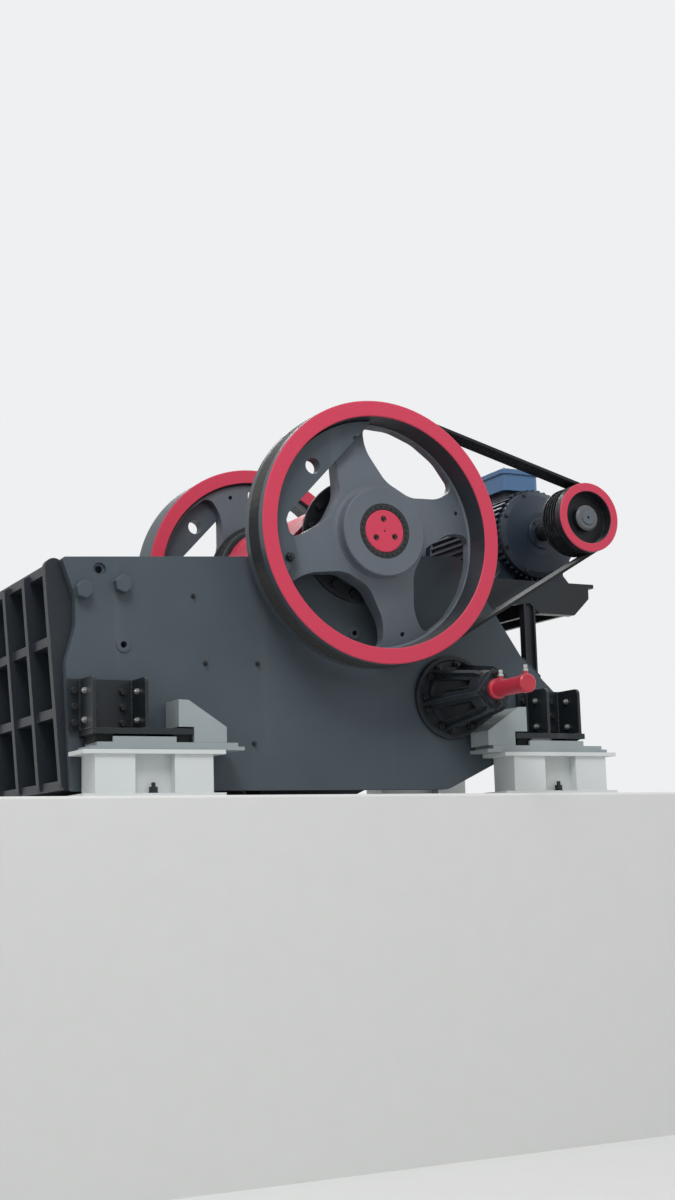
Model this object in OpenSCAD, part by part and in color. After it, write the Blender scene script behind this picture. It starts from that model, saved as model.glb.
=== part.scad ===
// Single-toggle jaw crusher with its drive motor, on four floor pedestals.
// Millimetres. X runs from the feed side (-X) to the motor side (+X), Y across, +Z up.
// The origin is on the floor, at the centre of the anchor bolt pattern.

/* [Crushing chamber] */
// Width of the feed opening between the cheek plates
mouth_w = 1060; // [900:10:1200]
// Feed opening from die to die, at the top
mouth_gape = 660; // [500:10:760]
// Gap between the dies at the bottom
jaw_gap = 110; // [70:5:160]
// Height of the jaw dies
die_h = 1050; // [900:10:1100]
// Thickness of a jaw die, without its teeth
die_t = 55; // [40:1:70]
// Height of a die tooth
tooth_h = 22; // [10:1:30]
// Number of teeth across a die
tooth_count = 14; // [8:1:18]
// Thickness of a cheek plate
cheek_t = 20; // [12:1:30]
// Running gap between the moving jaw and the cheek plates
jaw_side_gap = 8; // [6:1:14]

/* [Main frame] */
// Thickness of a side plate
side_t = 50; // [35:1:60]
// Front end of the side plates, ahead of the origin
frame_front = 1490; // [1450:5:1550]
// Rear end of the side plates, behind the origin
frame_rear = 1300; // [1290:5:1340]
// Height of the side plates at their front end
side_front_h = 1143; // [1120:1:1160]
// Rise of the side plates' top edge towards the shaft, degrees
top_slope = 3.6; // [3:0.1:4]
// Floor clearance under the side plates
belly_gap = 40; // [20:1:70]
// Wall thickness of the cast front and rear frames
cast_t = 60; // [45:1:75]

/* [Shaft and wheels] */
// Shaft axis, behind the origin
shaft_x = 80; // [60:1:100]
// Shaft axis above the floor
shaft_z = 1320; // [1310:1:1350]
// Radius of the shaft in the flywheels
shaft_r = 109; // [95:1:112]
// Radius of the shaft in the frame bearings
journal_r = 140; // [130:1:145]
// Radius of the eccentric that carries the moving jaw
eccentric_r = 165; // [158:1:175]
// Throw of the eccentric
throw = 15; // [8:1:18]
// Direction of the eccentric at rest, degrees above +X
throw_at = -31; // [-60:1:0]
// Outer radius of the flywheels
wheel_r = 675; // [640:5:690]
// Width of a flywheel's rim
wheel_w = 215; // [190:1:230]
// Radial thickness of the rim
rim_t = 81; // [60:1:90]
// Radius of a flywheel's hub
hub_r = 230; // [210:1:245]
// Thickness of the spoked web
web_t = 50; // [35:1:60]
// Depth of the web behind the rim's outer face
web_depth = 138; // [120:1:142]
// Direction of the first spoke, degrees above +X
spoke_at = 14; // [0:1:40]
// Narrowest width of a spoke
spoke_w = 165; // [130:1:190]
// Clearance between a side plate and its flywheel
wheel_clear = 72; // [70:1:90]
// Outer radius of the locking ring in a hub
lock_r = 141; // [135:1:150]

/* [Drive] */
// Motor axis, behind the origin
motor_x = 1347; // [1330:1:1365]
// Motor axis above the floor
motor_z = 1485; // [1480:1:1500]
// Radius of the motor's frame
motor_r = 265; // [240:1:280]
// Length of the motor's frame
motor_len = 860; // [760:10:900]
// Outer radius of the motor pulley
pulley_r = 190; // [170:1:200]
// Width of the motor pulley
pulley_w = 176; // [165:1:190]
// Radius of the motor shaft
motor_shaft_r = 45; // [35:1:55]
// Number of drive belts
belt_count = 5; // [3:1:6]
// Width of a belt's outer face
belt_w = 20; // [16:1:22]
// Thickness of a belt
belt_t = 15; // [10:1:18]

/* [Setting adjuster] */
// Adjuster axis, behind the origin
adjust_x = 603; // [590:1:615]
// Adjuster axis above the floor
adjust_z = 517; // [505:1:530]
// Radius of the lantern's flange
lantern_r = 220; // [190:1:230]
// Length of the ribbed lantern
lantern_len = 440; // [380:5:480]
// Radius of the adjuster's cylinder
ram_r = 42; // [32:1:50]
// Length of the cylinder outside the lantern
ram_len = 290; // [220:5:320]

/* [Feet and pedestals] */
// Distance of a pedestal's centre from the origin, along the crusher
pedestal_x = 1130; // [1120:1:1140]
// Length of a pedestal
pedestal_len = 580; // [560:5:600]
// Depth of a pedestal
pedestal_w = 195; // [180:1:210]
// Height of a pedestal
pedestal_h = 220; // [205:1:235]
// Thickness of the pedestals' flanges
flange_t = 20; // [14:1:25]
// Overhang of the flanges past a pedestal's ends
flange_over = 60; // [50:1:70]
// Thickness of the base plate on a pedestal
base_t = 35; // [25:1:45]
// Height of a rubber block
rubber_h = 37; // [25:1:45]
// Depth of a foot, out from the side plate
foot_depth = 205; // [190:1:215]
// Height of a foot
foot_h = 270; // [240:1:285]
// Thickness of the foot plates
foot_t = 28; // [20:1:32]
// Radius of the anchor holes
anchor_r = 13; // [9:1:16]

/* [Hidden] */

$fn = 96;
seat_gap = 0.3;
run_gap = 0.05;
near = -1;
far = 1;

plate_grey = "#4a545c";
cast_grey = "#3b444b";
web_grey = "#69727a";
signal_red = "#c94860";
pedestal_grey = "#c7c8c6";
hook_grey = "#818b8d";
foot_black = "#1f2428";
die_steel = "#5c5f60";
motor_navy = "#1e2a38";
box_blue = "#39536c";
rubber_black = "#16181a";

// Across the machine
side_in = mouth_w / 2 + cheek_t;
side_out = side_in + side_t;
wheel_in = side_out + wheel_clear;
wheel_out = wheel_in + wheel_w;
pitman_w = mouth_w - 2 * jaw_side_gap;

// Outline of a side plate: a waisted front edge, a top edge that rises to the shaft,
// a bent slope down to the rear
top_rise = tan(top_slope);
nose = 20;
waist_depth = 68;
rear_slope_x = 691;
rear_bend_x = 1058;
rear_bend_z = 747;
rear_end_z = 525;
rear_low_z = 372;
belly_rear_x = 568;
function top_z(x) = side_front_h + (x + frame_front) * top_rise;
function slope_x(z) =
    rear_slope_x + (rear_bend_x - rear_slope_x) * (top_z(rear_slope_x) - z) / (top_z(rear_slope_x) - rear_bend_z);
function slope_z(x) = rear_bend_z - (x - rear_bend_x) * (rear_bend_z - rear_end_z) / (frame_rear - rear_bend_x);

// Holes of a side plate: distance behind the front end, distance under its top corner, radius
lift_hole = [167, 50, 18];
boss_holes = [[285, 409, 16], [1531, 305, 14]];
plain_holes = [[645, 157, 11], [705, 487, 11], [983, 480, 11], [957, 875, 9]];
boss_t = 6;

// Bearing housings
housing_r = 300;
housing_flange_r = 326;
cover_r = 248;
seal_r = 192;
housing_steps = [22, 40, 56];

// Chamber: the fixed die leans back, the moving die leans forward
die_low_z = 75;
fixed_top_x = -1170;
fixed_low_x = -900;
fixed_lean = atan((fixed_low_x - fixed_top_x) / die_h);
swing_top_x = fixed_top_x + mouth_gape;
swing_low_x = fixed_low_x + jaw_gap;
swing_lean = atan((swing_top_x - swing_low_x) / die_h);
die_top_z = die_low_z + die_h;
frame_low_z = belly_gap + 10;

// Front casting: ribs across and up, and two lifting lugs at the top
front_reach = 85;
rib_t = 45;
cross_ribs = 4;
upright_ribs = 4;
lug_r = 46;
lug_hole_r = 17;
lug_x = -frame_front - 41;
lug_z = side_front_h - 45;
front_top_z = side_front_h - 18;
function front_wall_x(z) = fixed_low_x - die_t + (fixed_top_x - fixed_low_x) * (z - die_low_z) / die_h;

// Eccentric and moving jaw
ecc_x = shaft_x + throw * cos(throw_at);
ecc_z = shaft_z + throw * sin(throw_at);
barrel_r = 285;
barrel_waist_r = 258;
barrel_end_w = 96;
jaw_wall_t = 80;
jaw_rib_t = 50;
seat_low_z = 310;
seat_high_z = 430;
toe_x = -300;
toe_z = 120;

// Toggle, its block, the wedges behind the block and the shelves that hold them
toggle_front_x = -30;
toggle_front_z = 370;
toggle_gap = 10;
toggle_end_r = 22;
toggle_half_t = 15;
toggle_w = 800;
block_front_x = adjust_x - 163;
wedge_back_x = adjust_x + 77;
wedge_thick = 135;
wedge_thin = 85;
shelf_low_z = adjust_z - 116;
shelf_high_z = adjust_z + 122;
shelf_front_x = block_front_x - 10;
toggle_end = [block_front_x, adjust_z];
toggle_start = [toggle_front_x + toggle_end_r, toggle_front_z];
rear_wall_top_z = 760;
rear_beam_x = 1180;

// Tension rods, their eyes round the pins of the moving jaw, and their springs
rod_y0 = 330;
rod_pin_r = 20;
rod_pin_x = -120;
rod_pin_z = 112;
rod_rear_x = 600;
rod_rear_z = 235;
rod_r = 19;
eye_x = rod_pin_x - throw * cos(throw_at);
eye_z = rod_pin_z - throw * sin(throw_at);
eye_r = rod_pin_r + throw + 6;
rod_lean = atan2(rod_rear_z - eye_z, rod_rear_x - eye_x);
rod_len = norm([rod_rear_x - eye_x, rod_rear_z - eye_z]);
spring_r = 40;
spring_len = 190;
coils = 9;

// Adjuster
ram_rod_r = 30;
lantern_ribs = 6;
lantern_rib_t = 22;
cone_r = 160;
cone_tip_r = 96;
cone_t = 16;
lantern_plate = 150;

// Stack of plates on a pedestal
base_z = pedestal_h;
base_step = 17;
base_half_w = 88;
rubber_z = base_z + base_t;
foot_z = rubber_z + rubber_h;
foot_top_z = foot_z + foot_h;
pedestal_y = side_out + 18 + pedestal_w / 2;
pedestal_end = pedestal_x + pedestal_len / 2 + flange_over;
foot_front_x = [-1427, -1156];
foot_rear_x = [1068, 1282];
foot_front_plate = [-1427, -935];
foot_rear_plate = [868, 1300];
base_front = [-pedestal_end + 40, -674];
base_rear = [690, pedestal_end - 40];
keeper_front = [-1330, -1020];
keeper_rear = [950, 1290];
foot_bolt_z = [72, 208];
foot_bolt_r = 11;
hook_front = -1006;
hook_rear = 939;
hook_t = 20;

// Motor, its slide rails and its bracket
motor_front_y = -(wheel_out - pulley_w - 281);
motor_mid_y = motor_front_y + motor_len / 2;
motor_seat_z = motor_z - 281;
rail_h = 32;
rail_half_w = 50;
rail_spread = 260;
rail_front_x = motor_x - 292;
rail_rear_x = motor_x + 214;
bracket_top = motor_seat_z - rail_h;
bracket_t = 22;
bracket_z = bracket_top - bracket_t;
bracket_rear_x = motor_x + 213;
arm_t = 26;
arm_seat_t = 24;
motor_root_r = motor_r - 24;
fin_count = 44;
shield_len = 60;
fan_len = 130;
bore_depth = 130;
box_z = motor_z + motor_r + 16;
box_h = 130;
box_half_w = 120;
box_len = 300;

// Belts and their wheels
belt_pitch = belt_w + 3;
belt_mid_y = -(wheel_out - wheel_w / 2);
belt_gap = 0.6;
hub_depth = 60;
hub_fillet = 22;
spoke_hole_r = 12;
spoke_hole_at = 525;
pad_t = 5;
pad_r = 44;
tap_r = 12;
tap_pcd = 124;
tap_depth = 60;

// A point's rounded corner: a, b and c are corners in turn, r is the fillet radius at b
function unit(v) = v / norm(v);
function turn(v, t) = [v.x * cos(t) - v.y * sin(t), v.x * sin(t) + v.y * cos(t)];
function corner(a, b, c, r) =
    let (u = unit(a - b), w = unit(c - b), half = acos(u * w) / 2)
    let (centre = b + unit(u + w) * (r / sin(half)), start = b + u * (r / tan(half)) - centre)
    let (sweep = 180 - 2 * half, way = sign(cross(u, w)), steps = max(2, ceil(sweep / 9)))
    [for (i = [0:steps]) centre + turn(start, -way * sweep * i / steps)];
// Points [x, y, r] become an outline with round corners; r = 0 keeps a corner sharp
function rounded(p) = [
    for (i = [0:len(p) - 1])
        let (b = p[i], a = p[(i + len(p) - 1) % len(p)], c = p[(i + 1) % len(p)])
        each (b[2] == 0
            ? [[b.x, b.y]]
            : corner([a.x, a.y], [b.x, b.y], [c.x, c.y], b[2]))
];
function arc(cx, cy, r, from, to, steps) =
    [for (i = [0:steps]) [cx, cy] + r * [cos(from + (to - from) * i / steps), sin(from + (to - from) * i / steps)]];

// A side-view outline [x, z], drawn out from y0 to y1
module slab_y(points, y0, y1) {
    translate([0, y1, 0]) rotate([90, 0, 0]) linear_extrude(y1 - y0) polygon(points);
}
// A plan outline [x, y], drawn out from z0 to z1
module slab_z(points, z0, z1) {
    translate([0, 0, z0]) linear_extrude(z1 - z0) polygon(points);
}
// A profile [radius, distance out from the middle], spun round an axis along Y on the near side
module spun_y(x, z, points) {
    translate([x, 0, z]) rotate([90, 0, 0]) rotate_extrude() polygon(points);
}
module rod_y(x, z, r, y0, y1) {
    translate([x, y0, z]) rotate([-90, 0, 0]) cylinder(r = r, h = y1 - y0);
}
module rod_x(y, z, r, x0, x1) {
    translate([x0, y, z]) rotate([0, 90, 0]) cylinder(r = r, h = x1 - x0);
}
module block(x0, x1, y0, y1, z0, z1) {
    translate([x0, y0, z0]) cube([x1 - x0, y1 - y0, z1 - z0]);
}
// Pieces are drawn on the near side and mirrored to the far side
module on_side(side) {
    if (side == near) children();
    else mirror([0, 1, 0]) children();
}

// Side plates
side_outline = rounded([
    [-frame_front - nose, side_front_h, 14],
    [-frame_front + waist_depth - nose, side_front_h - 190, 120],
    [-frame_front + waist_depth - nose, side_front_h - 330, 160],
    [-frame_front, side_front_h - 500, 160],
    [-frame_front + 28, belly_gap, 20],
    [belly_rear_x, belly_gap, 80],
    [frame_rear, rear_low_z, 60],
    [frame_rear, rear_end_z, 60],
    [rear_bend_x, rear_bend_z, 150],
    [rear_slope_x, top_z(rear_slope_x), 90]
]);

module side_plate(side) {
    color(plate_grey) on_side(side) difference() {
        union() {
            slab_y(side_outline, -side_out, -side_in);
            for (h = boss_holes)
                rod_y(h.x - frame_front, side_front_h - h.y, 2 * h.z + 4, -side_out - boss_t, -side_out + 1);
        }
        rod_y(shaft_x, shaft_z, housing_r + seat_gap, -side_out - 1, -side_in + 1);
        for (h = concat([lift_hole], boss_holes, plain_holes))
            rod_y(h.x - frame_front, side_front_h - h.y, h.z, -side_out - boss_t - 1, -side_in + 1);
        rod_y(lift_hole.x - frame_front, side_front_h - lift_hole.y, 32, -side_out - 1, -side_out + 14);
        rod_y(adjust_x, adjust_z, ram_rod_r + 12, -side_out - 1, -side_in + 1);
    }
}

// Front frame: a leaning back wall, ribs across and up on its feed side, lugs beside the mouth
module front_frame() {
    back_top = front_wall_x(front_top_z);
    back_low = fixed_low_x - die_t;
    rib_low_x = -frame_front - 5;
    rib_rise = front_top_z - frame_low_z;
    upright = [
        [lug_x - lug_r, lug_z, 0], [rib_low_x, frame_low_z, 30], [back_low - cast_t, frame_low_z, 0],
        [back_top - cast_t, front_top_z, 0], [lug_x, front_top_z, 0]
    ];
    color(cast_grey) {
        slab_y([
            [back_top, front_top_z], [back_low, die_low_z], [back_low, frame_low_z],
            [back_low - cast_t, frame_low_z], [back_top - cast_t, front_top_z]
        ], -side_in, side_in);
        for (i = [0:upright_ribs - 1]) {
            y = -side_in + i * (2 * side_in - rib_t) / (upright_ribs - 1);
            slab_y(rounded(upright), y, y + rib_t);
        }
        for (i = [0:cross_ribs - 1]) {
            share = i / (cross_ribs - 1);
            z = frame_low_z + share * (rib_rise - rib_t);
            face = rib_low_x + 12 - share * (front_reach - 20);
            wall = back_low + (back_top - back_low) * share - cast_t + 20;
            block(face, wall, -side_in, side_in, z, z + rib_t);
        }
        for (side = [near, far]) on_side(side) difference() {
            rod_y(lug_x, lug_z, lug_r, -side_in, -side_in + rib_t);
            rod_y(lug_x, lug_z, lug_hole_r, -side_in - 1, -side_in + rib_t + 1);
        }
    }
}

// Cheek plates: an upper and a lower one on each side, held by bolts in round recesses
module cheek_plates() {
    half_z = die_low_z + die_h * 0.48;
    split = 4;
    front = tooth_h + 6;
    function front_x(z) = fixed_low_x + front + (fixed_top_x - fixed_low_x) * (z - die_low_z) / die_h;
    function rear_x(z) = swing_low_x + 60 + (swing_top_x - swing_low_x) * (z - die_low_z) / die_h;
    module cheek(z0, z1, bolts) {
        difference() {
            slab_y([[front_x(z1), z1], [front_x(z0), z0], [rear_x(z0), z0], [rear_x(z1), z1]],
                   -side_in, -side_in + cheek_t);
            for (share = bolts) {
                z = (z0 + z1) / 2;
                rod_y(front_x(z) + share * (rear_x(z) - front_x(z)), z, 26, -side_in + cheek_t / 2, -side_in + cheek_t + 1);
            }
        }
    }
    color(die_steel) for (side = [near, far]) on_side(side) {
        cheek(die_low_z, half_z - split, [0.5]);
        cheek(half_z, die_top_z, [0.25, 0.75]);
    }
}

// A jaw die: a plate with a row of round-topped teeth, running up and down
module die(width) {
    pitch = width / tooth_count;
    steps = 8;
    front = [
        for (i = [0:tooth_count * steps])
            [-width / 2 + i * pitch / steps, die_t - tooth_h / 2 * cos(i * 360 / steps)]
    ];
    linear_extrude(die_h / cos(fixed_lean))
        polygon(concat([[width / 2, seat_gap], [-width / 2, seat_gap]], front));
}

module fixed_jaw_die() {
    color(die_steel) translate([fixed_low_x - die_t, 0, die_low_z]) rotate([0, -fixed_lean, 0])
        rotate([0, 0, -90]) die(mouth_w);
}

// Bearing housing: a stepped cover on a round casting that seats in the side plate
module bearing_housing(side) {
    in = side_in - 6;
    color(cast_grey) on_side(side) spun_y(shaft_x, shaft_z, [
        [journal_r + run_gap, in], [housing_r - 8, in], [housing_r, in + 8], [housing_r, side_out],
        [housing_flange_r, side_out], [housing_flange_r, side_out + housing_steps[0] - 6],
        [housing_flange_r - 6, side_out + housing_steps[0]], [cover_r, side_out + housing_steps[0]],
        [cover_r, side_out + housing_steps[1] - 5], [cover_r - 5, side_out + housing_steps[1]],
        [seal_r, side_out + housing_steps[1]], [seal_r - 6, side_out + housing_steps[2]],
        [journal_r + run_gap, side_out + housing_steps[2]]
    ]);
}

// Rear frame: a wall with two shelves for the toggle block and its wedges, ribs behind it
module rear_frame() {
    back = [
        [wedge_back_x + 1, shelf_low_z - cast_t, 0], [rear_beam_x, shelf_low_z - 10, 40],
        [rear_beam_x + 60, adjust_z, 40], [rear_beam_x - 140, rear_wall_top_z - 30, 60],
        [wedge_back_x + 1, rear_wall_top_z, 0]
    ];
    inset = 20;
    color(cast_grey) {
        slab_y([
            [shelf_front_x, shelf_high_z], [shelf_front_x, shelf_high_z + cast_t], [wedge_back_x, shelf_high_z + cast_t],
            [wedge_back_x, rear_wall_top_z], [wedge_back_x + cast_t, rear_wall_top_z],
            [wedge_back_x + cast_t, shelf_low_z - cast_t], [shelf_front_x, shelf_low_z - cast_t],
            [shelf_front_x, shelf_low_z], [wedge_back_x, shelf_low_z], [wedge_back_x, shelf_high_z]
        ], -side_in, side_in);
        for (i = [0:upright_ribs - 1]) {
            y = -side_in + i * (2 * side_in - rib_t) / (upright_ribs - 1);
            slab_y(rounded(back), y, y + rib_t);
        }
        slab_y([
            [wedge_back_x + 1, rear_wall_top_z - inset - rib_t], [wedge_back_x + 1, rear_wall_top_z - inset],
            [rear_beam_x - 160, rear_wall_top_z - 30 - inset], [rear_beam_x - 160, rear_wall_top_z - 30 - inset - rib_t]
        ], -side_in, side_in);
        block(wedge_back_x + 1, rear_beam_x - inset, -side_in, side_in, adjust_z, adjust_z + rib_t);
        slab_y([
            [rear_beam_x - 90, shelf_low_z + 10], [rear_beam_x - 20, shelf_low_z + 16], [rear_beam_x + 32, adjust_z + 10],
            [rear_beam_x - 60, adjust_z + 10]
        ], -side_in, side_in);
        for (side = [near, far]) on_side(side) along_rod() difference() {
            translate([-130, -50, rod_len - 25]) cube([180, 100, 25]);
            translate([0, 0, rod_len - 26]) cylinder(r = rod_r + 3, h = 27);
        }
    }
}

// Where the wedges' sloped faces stand, at a distance y from the middle
wedge_end_y = side_in - 12;
function wedge_x(y) = wedge_back_x - wedge_thin - (wedge_thick - wedge_thin) * y / wedge_end_y;

module toggle_block() {
    half = side_in - 40;
    color(cast_grey) difference() {
        slab_z([
            [block_front_x, -half], [wedge_x(half) - seat_gap, -half], [wedge_x(0) - seat_gap, 0],
            [wedge_x(half) - seat_gap, half], [block_front_x, half]
        ], shelf_low_z, shelf_high_z);
        rod_y(toggle_end.x, toggle_end.y, toggle_end_r + seat_gap, -side_in, side_in);
    }
}

// Toggle plate: round ends, thinner in the middle
module toggle_plate() {
    run = toggle_end - toggle_start;
    len = norm(run);
    thick = toggle_end_r - 1;
    half_side = [[0, thick, 0], [70, thick, 40], [120, toggle_half_t, 40], [len - 120, toggle_half_t, 40],
                 [len - 70, thick, 40], [len, thick, 0]];
    flat = concat(half_side, [for (i = [5:-1:0]) [half_side[i].x, -half_side[i].y, half_side[i].z]]);
    color(die_steel) {
        slab_y([for (p = rounded(flat)) toggle_start + turn(p, atan2(run.y, run.x))], -toggle_w / 2, toggle_w / 2);
        rod_y(toggle_start.x, toggle_start.y, toggle_end_r, -toggle_w / 2, toggle_w / 2);
        rod_y(toggle_end.x, toggle_end.y, toggle_end_r, -toggle_w / 2, toggle_w / 2);
    }
}

// Along a tension rod, from its eye at the moving jaw towards the rear frame
module along_rod() {
    translate([eye_x, -rod_y0 - 3, eye_z]) rotate([0, 90 - rod_lean, 0]) children();
}
module tension_rods() {
    wire = spring_len / coils;
    coil_points = [for (i = [0:coils - 1]) each [
        [spring_r - 6, 20 + i * wire], [spring_r, 20 + (i + 0.25) * wire],
        [spring_r, 20 + (i + 0.6) * wire], [spring_r - 6, 20 + (i + 0.85) * wire]
    ]];
    nut_z = 20 + spring_len;
    color(die_steel) for (side = [near, far]) on_side(side) difference() {
        union() {
            rod_y(eye_x, eye_z, eye_r + 24, -rod_y0 - 24, -rod_y0 + 18);
            along_rod() {
                cylinder(r = rod_r, h = rod_len + nut_z + 90);
                translate([0, 0, rod_len]) {
                    cylinder(r = spring_r + 4, h = 20);
                    rotate_extrude() polygon(concat([[0, 19]], coil_points, [[0, nut_z]]));
                    translate([0, 0, nut_z]) cylinder(r = spring_r + 6, h = 20);
                    translate([0, 0, nut_z + 20]) cylinder(r = rod_r + 15, h = 30, $fn = 6);
                    translate([0, 0, nut_z + 50]) cylinder(r = rod_r + 14, h = 18, $fn = 6);
                }
            }
        }
        rod_y(eye_x, eye_z, eye_r, -rod_y0 - 70, -rod_y0 + 70);
    }
}

// Adjuster lantern: a flange with a raised rim, an open cone with ribs, a tilted square end plate
module lantern(side) {
    tip = side_out + lantern_len;
    step = 360 / lantern_ribs;
    module spokewise(k) {
        translate([adjust_x, 0, adjust_z]) rotate([0, step * k + 18, 0]) children();
    }
    color(cast_grey) on_side(side) difference() {
        union() {
            spun_y(adjust_x, adjust_z, [
                [0, side_out], [lantern_r - 5, side_out], [lantern_r, side_out + 5], [lantern_r, side_out + 25],
                [lantern_r - 5, side_out + 30], [lantern_r - 22, side_out + 30], [lantern_r - 28, side_out + 22],
                [cone_r, side_out + 22], [cone_tip_r, tip - 20], [0, tip - 20]
            ]);
            for (k = [0:lantern_ribs - 1]) spokewise(k) translate([-lantern_rib_t / 2, 0, 0]) rotate([90, 0, 90])
                linear_extrude(lantern_rib_t) polygon([
                    [-side_out - 16, cone_r - 8], [-side_out - 16, lantern_r - 36], [-side_out - 34, lantern_r - 36],
                    [-side_out - 110, lantern_r - 52], [-tip + 60, cone_tip_r + 30], [-tip + 21, cone_tip_r + 16],
                    [-tip + 21, cone_tip_r - 8]
                ]);
            translate([adjust_x, 0, adjust_z]) rotate([0, 40, 0]) {
                block(-lantern_plate / 2, lantern_plate / 2, -tip, -tip + 26, -lantern_plate / 2, lantern_plate / 2);
                block(-20, 20, -tip + 4, -tip + 24, lantern_plate / 2 - 1, lantern_plate / 2 + 26);
            }
        }
        spun_y(adjust_x, adjust_z, [
            [ram_rod_r + 14, side_out + 14], [cone_r - cone_t, side_out + 14],
            [cone_tip_r - cone_t, tip - 60], [ram_rod_r + 14, tip - 60]
        ]);
        for (k = [0:lantern_ribs - 1]) spokewise(k + 0.5) translate([0, 0, ram_rod_r + 20])
            linear_extrude(cone_r) polygon([
                [-44, -side_out - 60], [44, -side_out - 60], [26, -tip + 90], [-26, -tip + 90]
            ]);
        rod_y(adjust_x, adjust_z, ram_rod_r + 1, -tip - 1, -side_out + 1);
    }
}

// Adjuster: the cylinder outside the lantern, its rod through the side plate, the wedge inside
module adjuster_ram(side) {
    start = side_out + lantern_len + seat_gap;
    end = start + ram_len;
    color(signal_red) on_side(side) {
        spun_y(adjust_x, adjust_z, [
            [0, wedge_end_y - 1], [ram_rod_r, wedge_end_y - 1], [ram_rod_r, start], [ram_r + 10, start],
            [ram_r + 10, start + 20], [ram_r, start + 26], [ram_r, end - 40], [ram_r + 5, end - 36],
            [ram_r + 5, end - 6], [ram_r - 1, end], [0, end]
        ]);
        for (y = [start + 44, end - 24])
            translate([adjust_x, -y, adjust_z + ram_r - 4]) cylinder(r = 12, h = 22);
        slab_z([
            [wedge_back_x, -wedge_end_y], [wedge_back_x, -12], [wedge_x(12), -12], [wedge_x(wedge_end_y), -wedge_end_y]
        ], shelf_low_z, shelf_high_z);
    }
}

// A foot: bottom plate, back plate and two upright plates with a round outer corner
module foot(side, x, plate) {
    y0 = -side_out - foot_depth;
    upright_t = 16;
    back_t = 20;
    color(foot_black) on_side(side) {
        block(plate[0], plate[1], y0, -side_out, foot_z, foot_z + foot_t);
        block(x[0] - 60, x[1] + 12, -side_out - back_t, -side_out, foot_z + foot_t, foot_top_z);
        for (gx = [x[0], x[1] - upright_t]) difference() {
            translate([gx, 0, 0]) rotate([90, 0, 90]) linear_extrude(upright_t) polygon(rounded([
                [-side_out - back_t + 1, foot_z + foot_t - 1, 0], [-side_out - back_t + 1, foot_top_z - 2, 0],
                [y0 + 2, foot_top_z - 2, 28], [y0 + 2, foot_z + foot_t - 1, 0]
            ]));
            for (z = foot_bolt_z)
                rod_x(y0 + foot_depth / 2, foot_z + z, foot_bolt_r, gx - 1, gx + upright_t + 1);
        }
    }
}

// Rubber blocks with bonded plates between the feet and the base plates
module rubber_blocks() {
    half_x = 40;
    half_y = 64;
    bond_t = 6;
    color(rubber_black) for (side = [near, far]) on_side(side)
        for (x = [foot_front_plate[0] + 60, foot_front_plate[1] - 50, foot_rear_plate[0] + 60, foot_rear_plate[1] - 70]) {
            block(x - half_x, x + half_x, -pedestal_y - half_y, -pedestal_y + half_y, rubber_z, foot_z);
            for (z = [rubber_z, foot_z - bond_t])
                block(x - half_x - 6, x + half_x + 6, -pedestal_y - half_y - 6, -pedestal_y + half_y + 6, z, z + bond_t);
        }
}

// Base plates: a long layer, a shorter one on it, and a keeper strip along the outer edge
module base_plates() {
    keeper_h = 26;
    keeper_w = 14;
    step_in = 34;
    module stack(x, keeper) {
        block(x[0], x[1], -pedestal_y - base_half_w, -pedestal_y + base_half_w, base_z, base_z + base_step);
        block(x[0] + step_in, x[1] - step_in, -pedestal_y - base_half_w, -pedestal_y + base_half_w, base_z, rubber_z);
        block(keeper[0], keeper[1], -pedestal_y - base_half_w, -pedestal_y - base_half_w + keeper_w, base_z, rubber_z + keeper_h);
    }
    color(hook_grey) for (side = [near, far]) on_side(side) {
        stack(base_front, keeper_front);
        stack(base_rear, keeper_rear);
    }
}

// Hooks that hold the feet down: two cheeks and a bent cover plate
module hook(x, way) {
    rise = foot_z + foot_t + 8;
    top = foot_top_z - 105;
    toe = rise + 2;
    nose_x = 76;
    toe_x0 = 242;
    y0 = -pedestal_y - 85;
    y1 = -side_out - 30;
    function placed(p) = [for (q = p) [x + way * q.x, q.y]];
    cheek = placed([[0, rise], [0, top], [50, top - 2], [toe_x0, toe], [toe_x0, rubber_z], [nose_x, rubber_z], [nose_x, rise]]);
    cover = placed([
        [0, rise], [0, top], [50, top - 2], [toe_x0, toe], [toe_x0, rubber_z], [toe_x0 - hook_t, rubber_z],
        [toe_x0 - hook_t, toe - 10], [46, top - hook_t - 4], [hook_t, top - hook_t - 2], [hook_t, rise]
    ]);
    shoe = placed([[0, rise], [0, rise + hook_t], [nose_x + hook_t, rise + hook_t], [nose_x + hook_t, rubber_z],
                   [nose_x, rubber_z], [nose_x, rise]]);
    slab_y(cheek, y0, y0 + hook_t);
    slab_y(cheek, y1 - hook_t, y1);
    slab_y(cover, y0, y1);
    slab_y(shoe, y0, y1);
}
module hold_down_hooks() {
    color(hook_grey) for (side = [near, far]) on_side(side) {
        hook(hook_front, 1);
        hook(hook_rear, -1);
    }
}

// A pedestal: flanges at top and bottom, two boxes and a set-back web between them
module pedestal(side, end) {
    half = pedestal_len / 2;
    edge = 12;
    web_in = 55;
    color(pedestal_grey) on_side(side) translate([end * pedestal_x, -pedestal_y, 0]) difference() {
        union() {
            for (z = [0, pedestal_h - flange_t])
                block(-half - flange_over, half + flange_over, -pedestal_w / 2 - edge, pedestal_w / 2 + edge, z, z + flange_t);
            for (x = [-half, half - pedestal_len / 3])
                block(x, x + pedestal_len / 3, -pedestal_w / 2, pedestal_w / 2, flange_t - 1, pedestal_h - flange_t + 1);
            block(-half + 10, half - 10, -pedestal_w / 2 + web_in, pedestal_w / 2 - web_in, flange_t - 1, pedestal_h - flange_t + 1);
        }
        for (x = [-1, 1], y = [-1, 1])
            translate([x * (half + 32), y * 55, -1]) cylinder(r = anchor_r, h = flange_t + 2);
    }
}

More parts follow.
